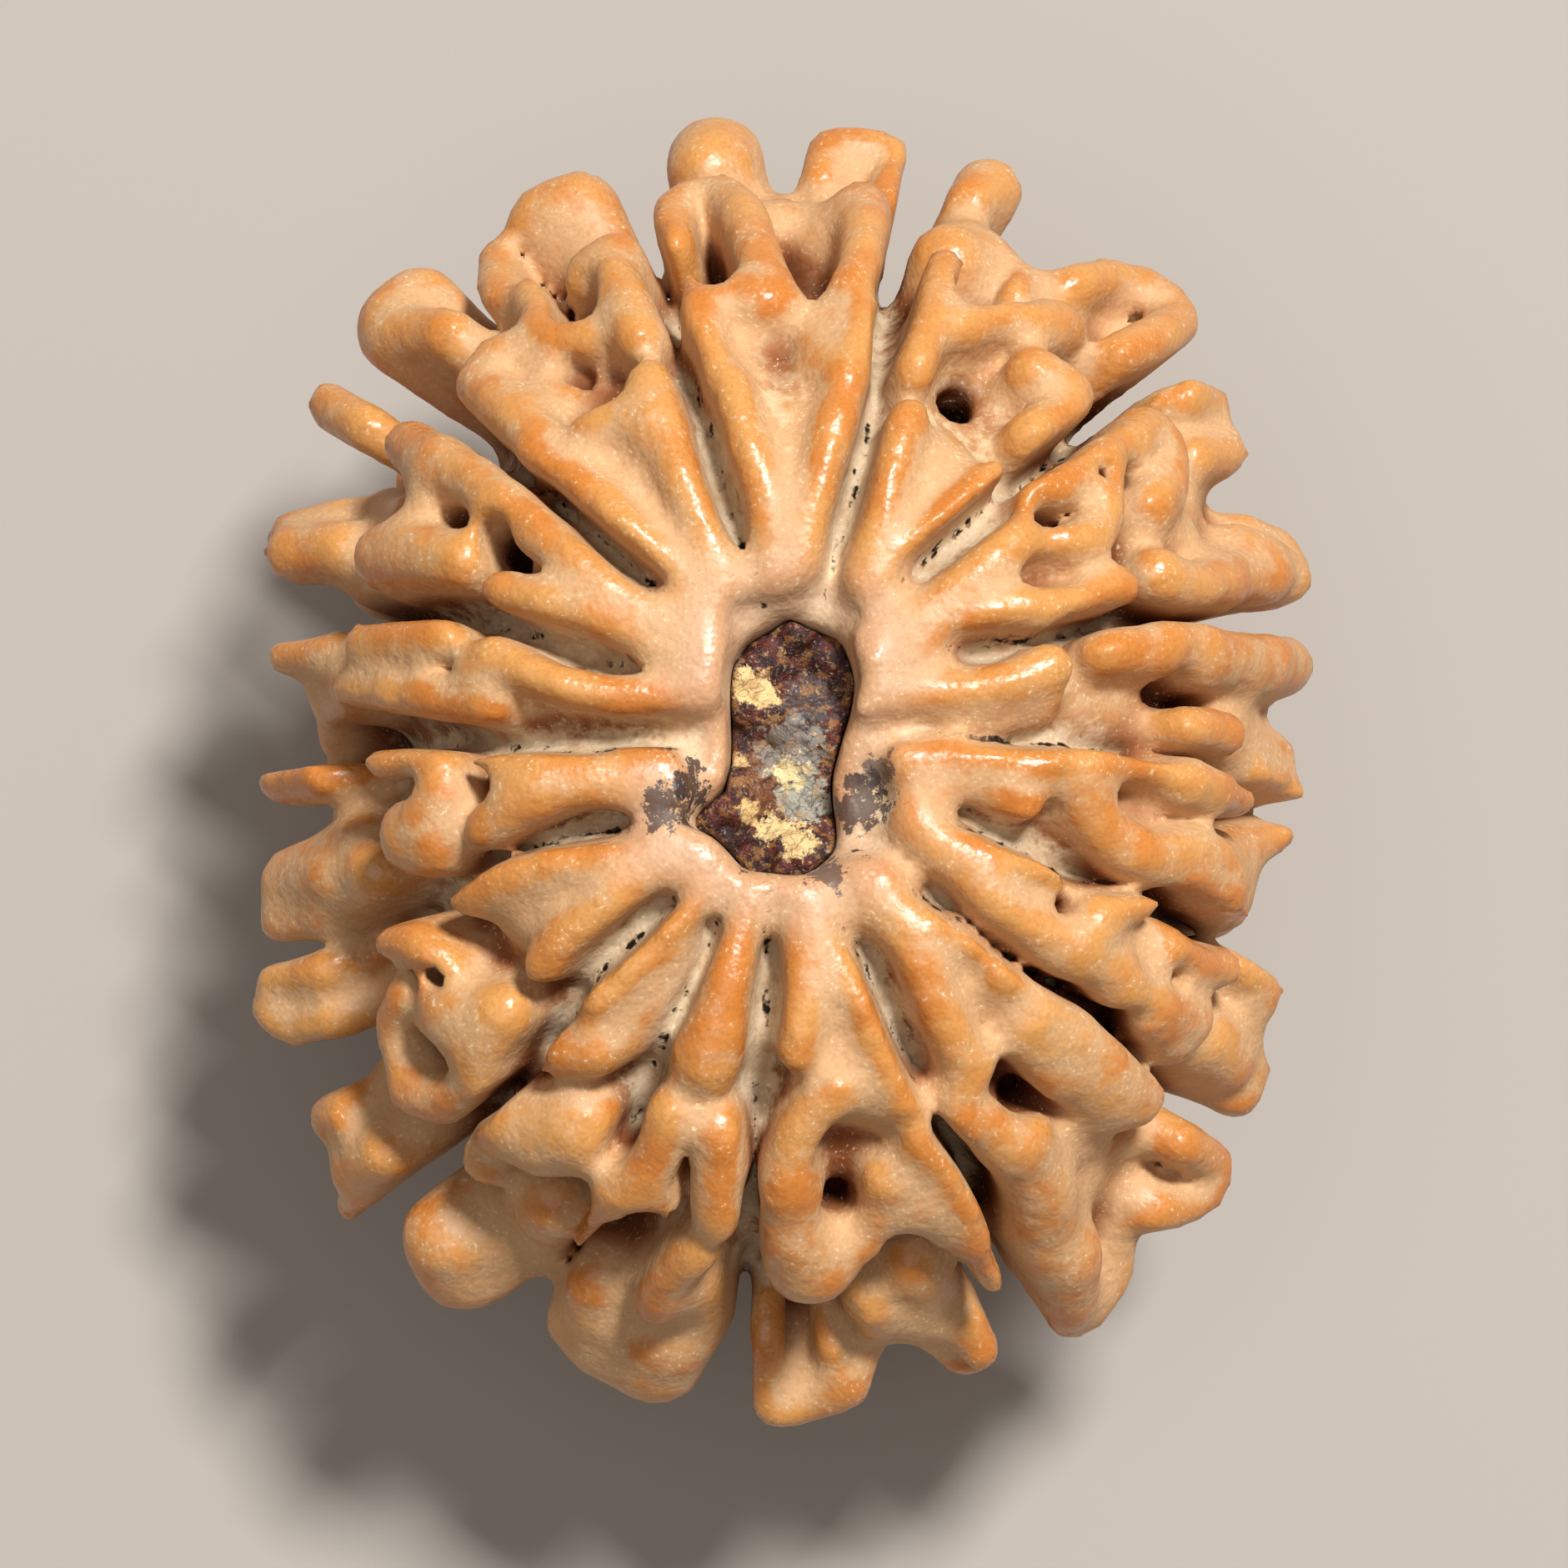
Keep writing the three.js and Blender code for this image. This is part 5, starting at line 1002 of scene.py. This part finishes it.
@dataclass(frozen=True)
class DriedPulpFinish:
    """Dried fruit pulp: resinous, crumbled and nearly black, so that the eye finds the open pole."""

    dark: str = "#2A1110"
    red: str = "#5A241A"
    bloom: str = "#9A9792"
    crumb: str = "#D9A86A"
    brown: str = "#A87740"
    resin_grain: Grain = Grain(0.4, 5.0, 0.65)
    crumb_grain: Grain = Grain(0.16, 3.0, 0.6, 1.0)
    clump_grain: Grain = Grain(0.9, 2.0, 0.5, 2.0)
    # Real mould threads are under 0.02 mm, too fine to show, so they are drawn as spots of 0.09 mm.
    bloom_grain: Grain = Grain(0.09, 2.0, 0.5, 3.0)
    gloss_grain: Grain = Grain(0.25, 3.0, 0.5, 4.0)
    lump_grain: Grain = Grain(0.16, 5.0, 0.65, 5.0)
    gap_grain: Grain = Grain(0.55, 2.0, 0.6, 6.0)
    brown_grain: Grain = Grain(0.28, 3.0, 0.6, 7.0)
    patch_lump: float = 0.3
    brown_share: float = 0.55
    crumb_share: float = 0.8
    bloom_share: float = 0.6
    gap_share: float = 0.55
    shade_from: Band = (0.62, 0.78)
    gloss: Band = (0.2, 0.6)
    bump: Band = (0.9, 0.12 * MM)

    def build(self) -> bpy.types.Material:
        """Build the material.

        Returns:
            The material, which reads the number that the pulp's vertices hold.
        """
        s = Surface("dried_fruit_pulp")
        closed = s.add(Kind.HELD, attribute_name="closed_in")
        gap = s.add(Kind.UNSIGNED, s.add(Kind.SCALED, self.gap_grain, 1.0, -0.5))
        gap = s.add(Kind.BAND, gap, 0.03, 0.0)
        resin = s.between(s.add(Kind.BAND, self.resin_grain, 0.42, 0.6), self.dark, self.red)
        brown = s.add(Kind.BAND, self.brown_grain, 0.52, 0.62)
        clumps = s.add(Kind.BAND, self.clump_grain, 0.4, 0.6)
        crumb = s.add(Kind.TIMES, s.add(Kind.BAND, self.crumb_grain, 0.62, 0.68), clumps, self.crumb_share)
        bloom = s.add(Kind.BAND, self.bloom_grain, 0.62, 0.7)
        colour = s.layer(resin, [
            # Flakes of skin and grey bloom: the eye reads that the pulp is old.
            *((s.patch(patch, self.patch_lump), patch.colour) for patch in PULP_PATCHES),
            # Browned places, crumbs, mould and cracks break the flakes up: the eye reads dried fruit.
            (s.add(Kind.TIMES, brown, self.brown_share), self.brown),
            (crumb, self.crumb),
            (s.add(Kind.TIMES, bloom, self.bloom_share), self.bloom),
            (s.add(Kind.TIMES, gap, self.gap_share), self.dark),
            # Painted shade: the dark colour laid where the pulp is closed in
            (s.add(Kind.BAND, closed, *self.shade_from), self.dark),
        ])
        s.put(s.shader.inputs["Base Color"], colour)
        # Sticky and dry places side by side: the eye reads resin.
        s.put(s.shader.inputs["Roughness"], s.add(Kind.BAND, self.gloss_grain, 0.4, 0.6, *self.gloss))
        s.put(s.shader.inputs["Normal"], s.add(Kind.BUMP, *self.bump, self.lump_grain))
        return s.material


@dataclass(frozen=True)
class PaleFloorFinish:
    """Matt painted board: it only carries the shadow, and leaves the eye on the seed."""

    colour: str = "#A49C94"
    roughness: float = 0.9

    def build(self) -> bpy.types.Material:
        """Build the material.

        Returns:
            The material.
        """
        s = Surface("pale_matt_board")
        s.put(s.shader.inputs["Base Color"], linear(self.colour))
        s.put(s.shader.inputs["Roughness"], self.roughness)
        return s.material




def soft_noise(block: VoxelBlock, cell: float, seed: int) -> Values:
    """Make smooth random values of about -1 to 1 over a block.

    Args:
        block: The block to fill.
        cell: The size of the lumps, in millimetres.
        seed: The seed of the draw.

    Returns:
        A block of values.
    """
    counts = [int(size * block.step / cell) + 3 for size in block.shape]
    values = np.random.default_rng(seed).uniform(-1.0, 1.0, counts).astype(np.float32)
    for axis, size in enumerate(block.shape):
        at = np.arange(size) * block.step / cell
        first = at.astype(int)
        form = [1, 1, 1]
        form[axis] = -1
        share = smoothstep(at - first).astype(np.float32).reshape(form)
        here, there = (np.take(values, first + step, axis=axis) for step in (0, 1))
        values = here * (1 - share) + there * share
    return values


@dataclass
class Hollow:
    """The open pole's hollow."""

    rim: float = 22.4
    floor: float = 17.0
    slope: float = 0.04

    def distance(self, axes: Sequence[Values]) -> Values:
        """Measure the signed distance to the hollow's walls.

        Args:
            axes: The places along each axis.

        Returns:
            The distances, negative inside.
        """
        x, y, z = axes
        return np.maximum(outline_distance(MOUTH, x, y) + self.slope * (self.rim - z), self.floor - z)


@dataclass
class SurfaceMaker:
    """Turns a block of signed distances into a closed mesh object."""

    block: VoxelBlock
    values: Values
    rounds: int = 0
    share: float = 0.5
    foot_height: float = 0.02

    def relax(self, points: Values, faces: list[Values]) -> Values:
        """Move each vertex towards its neighbours, which rounds sharp edges, and keep the foot flat.

        Args:
            points: The vertices.
            faces: The arrays of faces of one closed surface.

        Returns:
            The moved vertices.
        """
        sides = [np.stack([part, np.roll(part, -1, axis=1)], axis=2).reshape(-1, 2) for part in faces]
        here, there = np.concatenate(sides).T
        count = np.bincount(here, minlength=len(points))
        foot = points[:, 2] < self.foot_height
        for _ in range(self.rounds):
            sums = [np.bincount(here, points[there, axis], len(points)) for axis in range(3)]
            points = points + self.share * (np.stack(sums, axis=1) / count[:, None] - points)
            points[foot, 2] = 0.0
        return points

    def extract(self) -> tuple[Values, list[Values]]:
        """Find the surface where the values are zero, and keep its largest body.

        Returns:
            The vertices in millimetres, and the arrays of triangles and quads.
        """
        grid = openvdb.FloatGrid(FAR)
        grid.copyFromArray(self.values)
        points, triangles, quads = grid.convertToPolygons(isovalue=0.0, adaptivity=0.0)
        label = np.arange(len(points))
        parts = [part for part in (triangles, quads) if len(part)]
        edges = np.concatenate([np.stack([p, np.roll(p, -1, axis=1)], axis=2).reshape(-1, 2) for p in parts])
        while True:
            low = np.minimum(label[edges[:, 0]], label[edges[:, 1]])
            new = label.copy()
            np.minimum.at(new, edges[:, 0], low)
            np.minimum.at(new, edges[:, 1], low)
            new = new[new]
            if np.array_equal(new, label):
                break
            label = new
        largest = np.bincount(label).argmax()
        keep = label == largest
        number = np.cumsum(keep) - 1
        faces = [number[part[keep[part[:, 0]]]] for part in parts]
        return points[keep] * self.block.step + self.block.low, faces

    def make(self, name: str) -> tuple[bpy.types.Object, Values]:
        """Build the mesh object.

        Args:
            name: The object's name.

        Returns:
            The object, and its vertices in millimetres.
        """
        points, faces = self.extract()
        points = self.relax(points, faces)
        mesh = bpy.data.meshes.new(name)
        outward_faces = [face[::-1] for part in faces for face in part.tolist()]
        mesh.from_pydata((points * MM).tolist(), [], outward_faces)
        mesh.update()
        mesh.shade_smooth()
        obj = bpy.data.objects.new(name, mesh)
        bpy.context.scene.collection.objects.link(obj)
        return obj, points


def add_attribute(obj: bpy.types.Object, name: str, values: Values) -> None:
    """Store one number for each vertex of a mesh, which its material reads by name."""
    layer = obj.data.attributes.new(name, "FLOAT", "POINT")
    layer.data.foreach_set("value", np.asarray(values, np.float32))


@dataclass
class Stone:
    """The woody stone: its body, seams, ribs, folds and pits."""

    step: float = 0.27
    margin: float = 1.4
    lowest: float = -0.33
    seam_depth: float = 0.4
    seam_width: float = 0.75
    seam_shallow: float = 0.5
    seam_deepens: float = 5.0
    seam_reach: tuple[float, float] = (2.4, 4.5)
    swell: float = 0.5
    swell_width: float = 1.5
    dip_height: float = 4.0
    blend: float = 0.26
    seam_foot: float = 0.22
    seam_lean: float = 0.05
    seam_lean_top: float = 1.5
    seam_close: float = 3.5
    seam_fade: float = 1.6
    seam_round: float = 0.25
    rib_taper: float = 0.1
    rib_reach: tuple[float, float] = (1.3, 3.2)
    rib_far: float = 1.5
    waves: tuple[tuple[float, float, int], ...] = ((0.05, 1.3, 3), (0.03, 0.6, 4))
    pit_edge: tuple[float, float, int] = (0.25, 0.7, 5)
    pit_reach: float = 0.8
    hollow_round: float = 0.25
    near_blur: float = 0.66
    far_blur: float = 1.1
    mouth_height: float = 21.0
    mouth_slope: float = 0.6
    rounds: int = 3
    scar: tuple[float, float, float] = (3.1, 3.7, 4.0)
    relief: Relief = field(default_factory=Relief)
    hollow: Hollow = field(default_factory=Hollow)
    finish: WaxedStoneFinish = field(default_factory=WaxedStoneFinish)

    def seam_field(self, block: VoxelBlock) -> tuple[Values, Values]:
        """Measure how far each point is from the nearest seam, and find the face that it is on.

        Args:
            block: The block to fill.

        Returns:
            The distances across the surface, and the number of the seam before each point's face, or -1
            far away.
        """
        away = block.full(FAR)
        face = np.full(block.shape, -1, np.int8)
        for index, line in enumerate(self.relief.seam_lines()):
            for start, end in zip(line[:-1], line[1:]):
                slices, axes = block.near(np.array([start, end]), *self.seam_reach)
                near = chain_distance(np.array([start, end]), axes, 0.0, 0.0)
                side = sum(n * c for n, c in zip(outward(*axes), self.cross(end - start, axes, start)))
                owner = np.where(side > 0.0, (index - 1) % len(SEAMS), index)
                closer = near < away[slices]
                away[slices] = np.where(closer, near, away[slices])
                face[slices] = np.where(closer, owner, face[slices])
        return away, face

    @staticmethod
    def cross(way: Values, axes: Sequence[Values], start: Values) -> tuple[Values, Values, Values]:
        """Multiply a direction by the ways from a start to points, as vectors."""
        x, y, z = (places - from_here for places, from_here in zip(axes, start))
        return way[1] * z - way[2] * y, way[2] * x - way[0] * z, way[0] * y - way[1] * x

    def own_face(self, block: VoxelBlock, face: Values, line: Line) -> int:
        """Find the face on which most of a rib stands.

        Args:
            block: The block.
            face: The number of each point's face.
            line: The rib's line.

        Returns:
            The face's number, or -1 if the rib is far from every seam.
        """
        at = np.rint((line[:, :3] - block.low) / block.step).astype(int)
        at = np.clip(at, 0, np.array(block.shape) - 1)
        found = face[tuple(at.T)]
        found = found[found >= 0]
        return int(np.bincount(found).argmax()) if len(found) else -1

    def body_field(self, block: VoxelBlock, seam: Values) -> Values:
        """Measure the distance to the body under the relief.

        Args:
            block: The block to fill.
            seam: The distance from each point to the nearest seam.

        Returns:
            The signed distances.
        """
        x, y, z = block.whole()
        qx, qy, qz = x / BODY[0], y / BODY[1], (z - MIDDLE) / BODY[2]
        scale = np.sqrt(qx * qx + qy * qy + qz * qz) + 1e-6
        slope = np.sqrt((qx / BODY[0]) ** 2 + (qy / BODY[1]) ** 2 + (qz / BODY[2]) ** 2) / scale + 1e-6
        outer = self.relief.away_from_pole(x, y, self.seam_deepens)
        deep = self.seam_shallow + (1.0 - self.seam_shallow) * outer
        valley = np.exp(-((seam / self.seam_width) ** 2)) * deep
        swell = 1.0 - np.exp(-((seam / self.swell_width) ** 2))
        dip = self.relief.dip(x, y) * smoothstep((z - MIDDLE) / self.dip_height)
        return (scale - 1.0) / slope + self.seam_depth * valley - self.swell * swell + dip

    def form(self, block: VoxelBlock, body: Values, seam: Values, face: Values) -> Values:
        """Join the body, its scar, ribs, folds and tongues, and cut the hollow, the pits and the foot.

        Args:
            block: The block to fill.
            body: The distances to the body.
            seam: The distances to the nearest seam.
            face: The number of each point's face.

        Returns:
            The signed distances to the stone's surface.
        """
        x, y, z = block.whole()
        across, along, top = self.scar
        scar = np.maximum((np.hypot(x / across, y / along) - 1.0) * across, z - top)
        most = 10.0
        total = sum(np.exp(-np.clip(part / self.blend, -most, most)) for part in (body, scar))
        width = self.seam_foot + self.seam_lean * np.clip(body, 0.0, self.seam_lean_top)
        floor = body - self.seam_close * (1.0 - self.relief.away_from_pole(x, y, self.seam_fade))
        for line in self.relief.lines():
            slices, axes = block.near(line, *self.rib_reach)
            away = chain_distance(line, axes, self.rib_taper, 1.0)
            beyond = (face[slices] != self.own_face(block, face, line)) & (face[slices] >= 0)
            opening = width[slices] + np.where(beyond, seam[slices], -seam[slices])
            away = smooth_max(away, np.minimum(opening, floor[slices]), self.seam_round)
            added = np.exp(-np.clip(away / self.blend, -most, most))
            total[slices] += np.where(away < self.rib_far, added, 0.0)
        solid = -self.blend * np.log(total)
        solid += sum(height * soft_noise(block, cell, seed) for height, cell, seed in self.waves)
        solid = smooth_max(solid, -self.hollow.distance((x, y, z)), self.hollow_round)
        height, cell, seed = self.pit_edge
        ragged = height * soft_noise(block, cell, seed)
        for px, py, radius, depth in PITS:
            top = np.array([px, py, crest_height(px, py)])
            foot = top - np.array(outward(*top)) * depth
            line = np.array([[px, py, top[2] + 1.0, radius], [*foot, radius]])
            slices, axes = block.near(line, self.pit_reach, 0.0)
            pit = chain_distance(line, axes, 1.0, 1.0) + ragged[slices]
            solid[slices] = smooth_max(solid[slices], -pit, self.blend)
        return np.maximum(solid, -z).astype(np.float32)

    def build(self) -> bpy.types.Object:
        """Build the stone's mesh with the values that its material reads.

        Returns:
            The mesh object.
        """
        half = CREST + self.margin
        block = VoxelBlock([-half[0], -half[1], self.lowest], [*half[:2], MIDDLE + half[2]], self.step)
        seam, face = self.seam_field(block)
        body = self.body_field(block, seam)
        values = self.form(block, body, seam, face)
        obj, points = SurfaceMaker(block, values, self.rounds).make("stone_relief")
        solid = np.clip(0.5 - values / self.step, 0.0, 1.0)
        near, far = (round(reach / self.step) for reach in (self.near_blur, self.far_blur))
        below = self.mouth_slope * (self.mouth_height - points[:, 2]).clip(0)
        add_attribute(obj, "rise", block.sample(body, points))
        add_attribute(obj, "seam", block.sample(seam, points))
        add_attribute(obj, "closed_in", block.sample(box_blur(solid, near), points))
        add_attribute(obj, "sheltered", block.sample(box_blur(box_blur(solid, far), far), points))
        add_attribute(obj, "mouth", outline_distance(MOUTH, points[:, 0], points[:, 1]) + below)
        return obj

    def dress(self) -> bpy.types.Object:
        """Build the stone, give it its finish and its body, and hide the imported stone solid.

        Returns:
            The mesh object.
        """
        stone = self.build()
        stone.data.materials.append(self.finish.build())
        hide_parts("stone")
        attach(stone, "root")
        return stone


@dataclass
class Pulp:
    """The dried fruit pulp that fills the open pole's hollow."""

    step: float = 0.07
    gap: float = 0.03
    floor: float = 17.2
    top: float = 19.8
    lump: float = 0.4
    spacing: float = 1.25
    lump_turns: tuple[float, float] = (2.1, 2.6)
    lump_shift: float = 0.7
    crumbs: tuple[tuple[float, float, int], ...] = ((0.22, 0.75, 11), (0.13, 0.32, 12), (0.05, 0.16, 13))
    edge_round: float = 0.2
    blur_points: int = 4
    low: tuple[float, float] = (-3.4, -4.0)
    high: tuple[float, float] = (2.4, 3.6)
    below: float = 0.6
    above: float = 1.2
    hollow: Hollow = field(default_factory=Hollow)
    finish: DriedPulpFinish = field(default_factory=DriedPulpFinish)

    def build(self) -> bpy.types.Object:
        """Build the pulp's lumpy mesh.

        Returns:
            The mesh object.
        """
        low = [*self.low, self.floor - self.below]
        high = [*self.high, self.top + self.above]
        block = VoxelBlock(low, high, self.step)
        x, y, z = block.whole()
        across, along = self.lump_turns
        lumps = np.sin(x * across / self.spacing + self.lump_shift) * np.cos(y * along / self.spacing)
        crumbs = sum(height * soft_noise(block, cell, seed) for height, cell, seed in self.crumbs)
        side = self.hollow.distance((x, y, z)) + self.gap
        solid = smooth_max(side, z - self.top - self.lump * lumps + crumbs, self.edge_round)
        values = np.maximum(solid, self.floor - z).astype(np.float32)
        obj, points = SurfaceMaker(block, values).make("pulp_crumb")
        mass = np.clip(0.5 - values / self.step, 0.0, 1.0)
        add_attribute(obj, "closed_in", block.sample(box_blur(mass, self.blur_points), points))
        return obj

    def dress(self) -> bpy.types.Object:
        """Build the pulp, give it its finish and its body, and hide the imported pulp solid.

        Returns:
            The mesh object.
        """
        pulp = self.build()
        pulp.data.materials.append(self.finish.build())
        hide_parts("dried_pulp")
        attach(pulp, "root")
        return pulp


@dataclass(frozen=True)
class Lamp:
    """A soft square light: its place and side in metres, and its power in watts."""

    name: str
    place: tuple[float, float, float]
    size: float
    power: float


@dataclass
class Studio:
    """The floor, the soft lights and the camera. The camera's sizes are in millimetres."""

    span: float = 39.5
    distance: float = 160.0
    tilt: float = 6.0
    aim: tuple[float, float, float] = (-0.1, -0.25, 12.0)
    sensor: float = 36.0
    nearest: float = 0.001
    floor_half: float = 2.0
    lit_height: float = 0.012
    lamps: tuple[Lamp, ...] = (
        Lamp("key", (0.15, 0.2, 0.5), 0.09, 4.5),
        Lamp("fill", (-0.1, -0.1, 0.6), 0.5, 0.8),
    )
    sky: Colour = (1.0, 0.94, 0.87, 1.0)
    sky_strength: float = 0.2
    floor: PaleFloorFinish = field(default_factory=PaleFloorFinish)

    def add_floor(self) -> None:
        """Lay a plain pale floor under the seed."""
        half = self.floor_half
        mesh = bpy.data.meshes.new("floor")
        corners = [(-half, -half, 0.0), (half, -half, 0.0), (half, half, 0.0), (-half, half, 0.0)]
        mesh.from_pydata(corners, [], [(0, 1, 2, 3)])
        floor = bpy.data.objects.new("floor", mesh)
        bpy.context.scene.collection.objects.link(floor)
        mesh.materials.append(self.floor.build())

    def add_lamp(self, lamp: Lamp) -> None:
        """Hang one light that faces the seed.

        Args:
            lamp: The light.
        """
        data = bpy.data.lights.new(lamp.name, "AREA")
        data.size = lamp.size
        data.energy = lamp.power
        obj = bpy.data.objects.new(lamp.name, data)
        obj.location = lamp.place
        way = np.array([0.0, 0.0, self.lit_height]) - np.array(lamp.place)
        obj.rotation_euler = Vector(way).to_track_quat("-Z", "Y").to_euler()
        bpy.context.scene.collection.objects.link(obj)

    def add_camera(self) -> None:
        """Set the camera over the seed, leaning a little towards its near end."""
        tilt = math.radians(self.tilt)
        data = bpy.data.cameras.new("camera")
        data.sensor_width = self.sensor
        data.lens = self.sensor * self.distance / self.span
        data.clip_start = self.nearest
        camera = bpy.data.objects.new("camera", data)
        back = np.array([0.0, -math.sin(tilt), math.cos(tilt)])
        camera.location = (np.array(self.aim) + back * self.distance) * MM
        camera.rotation_euler = (tilt, 0.0, 0.0)
        bpy.context.scene.collection.objects.link(camera)
        bpy.context.scene.camera = camera

    def add_sky(self) -> None:
        """Light the seed faintly from all sides."""
        world = bpy.data.worlds.new("studio")
        world.use_nodes = True
        background = world.node_tree.nodes["Background"]
        background.inputs[0].default_value = self.sky
        background.inputs[1].default_value = self.sky_strength
        bpy.context.scene.world = world
        bpy.context.scene.view_settings.view_transform = "Standard"

    def build(self) -> None:
        """Set up everything that isn't part of the seed."""
        self.add_floor()
        self.add_camera()
        for lamp in self.lamps:
            self.add_lamp(lamp)
        self.add_sky()


def main() -> None:
    """Build the seed and its studio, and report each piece."""
    logging.basicConfig(level=logging.INFO, format="%(message)s")
    Studio().build()
    for part in (Stone(), Pulp()):
        piece = part.dress()
        log.info("%s: %d faces", piece.name, len(piece.data.polygons))


if __name__ == "__main__":
    main()
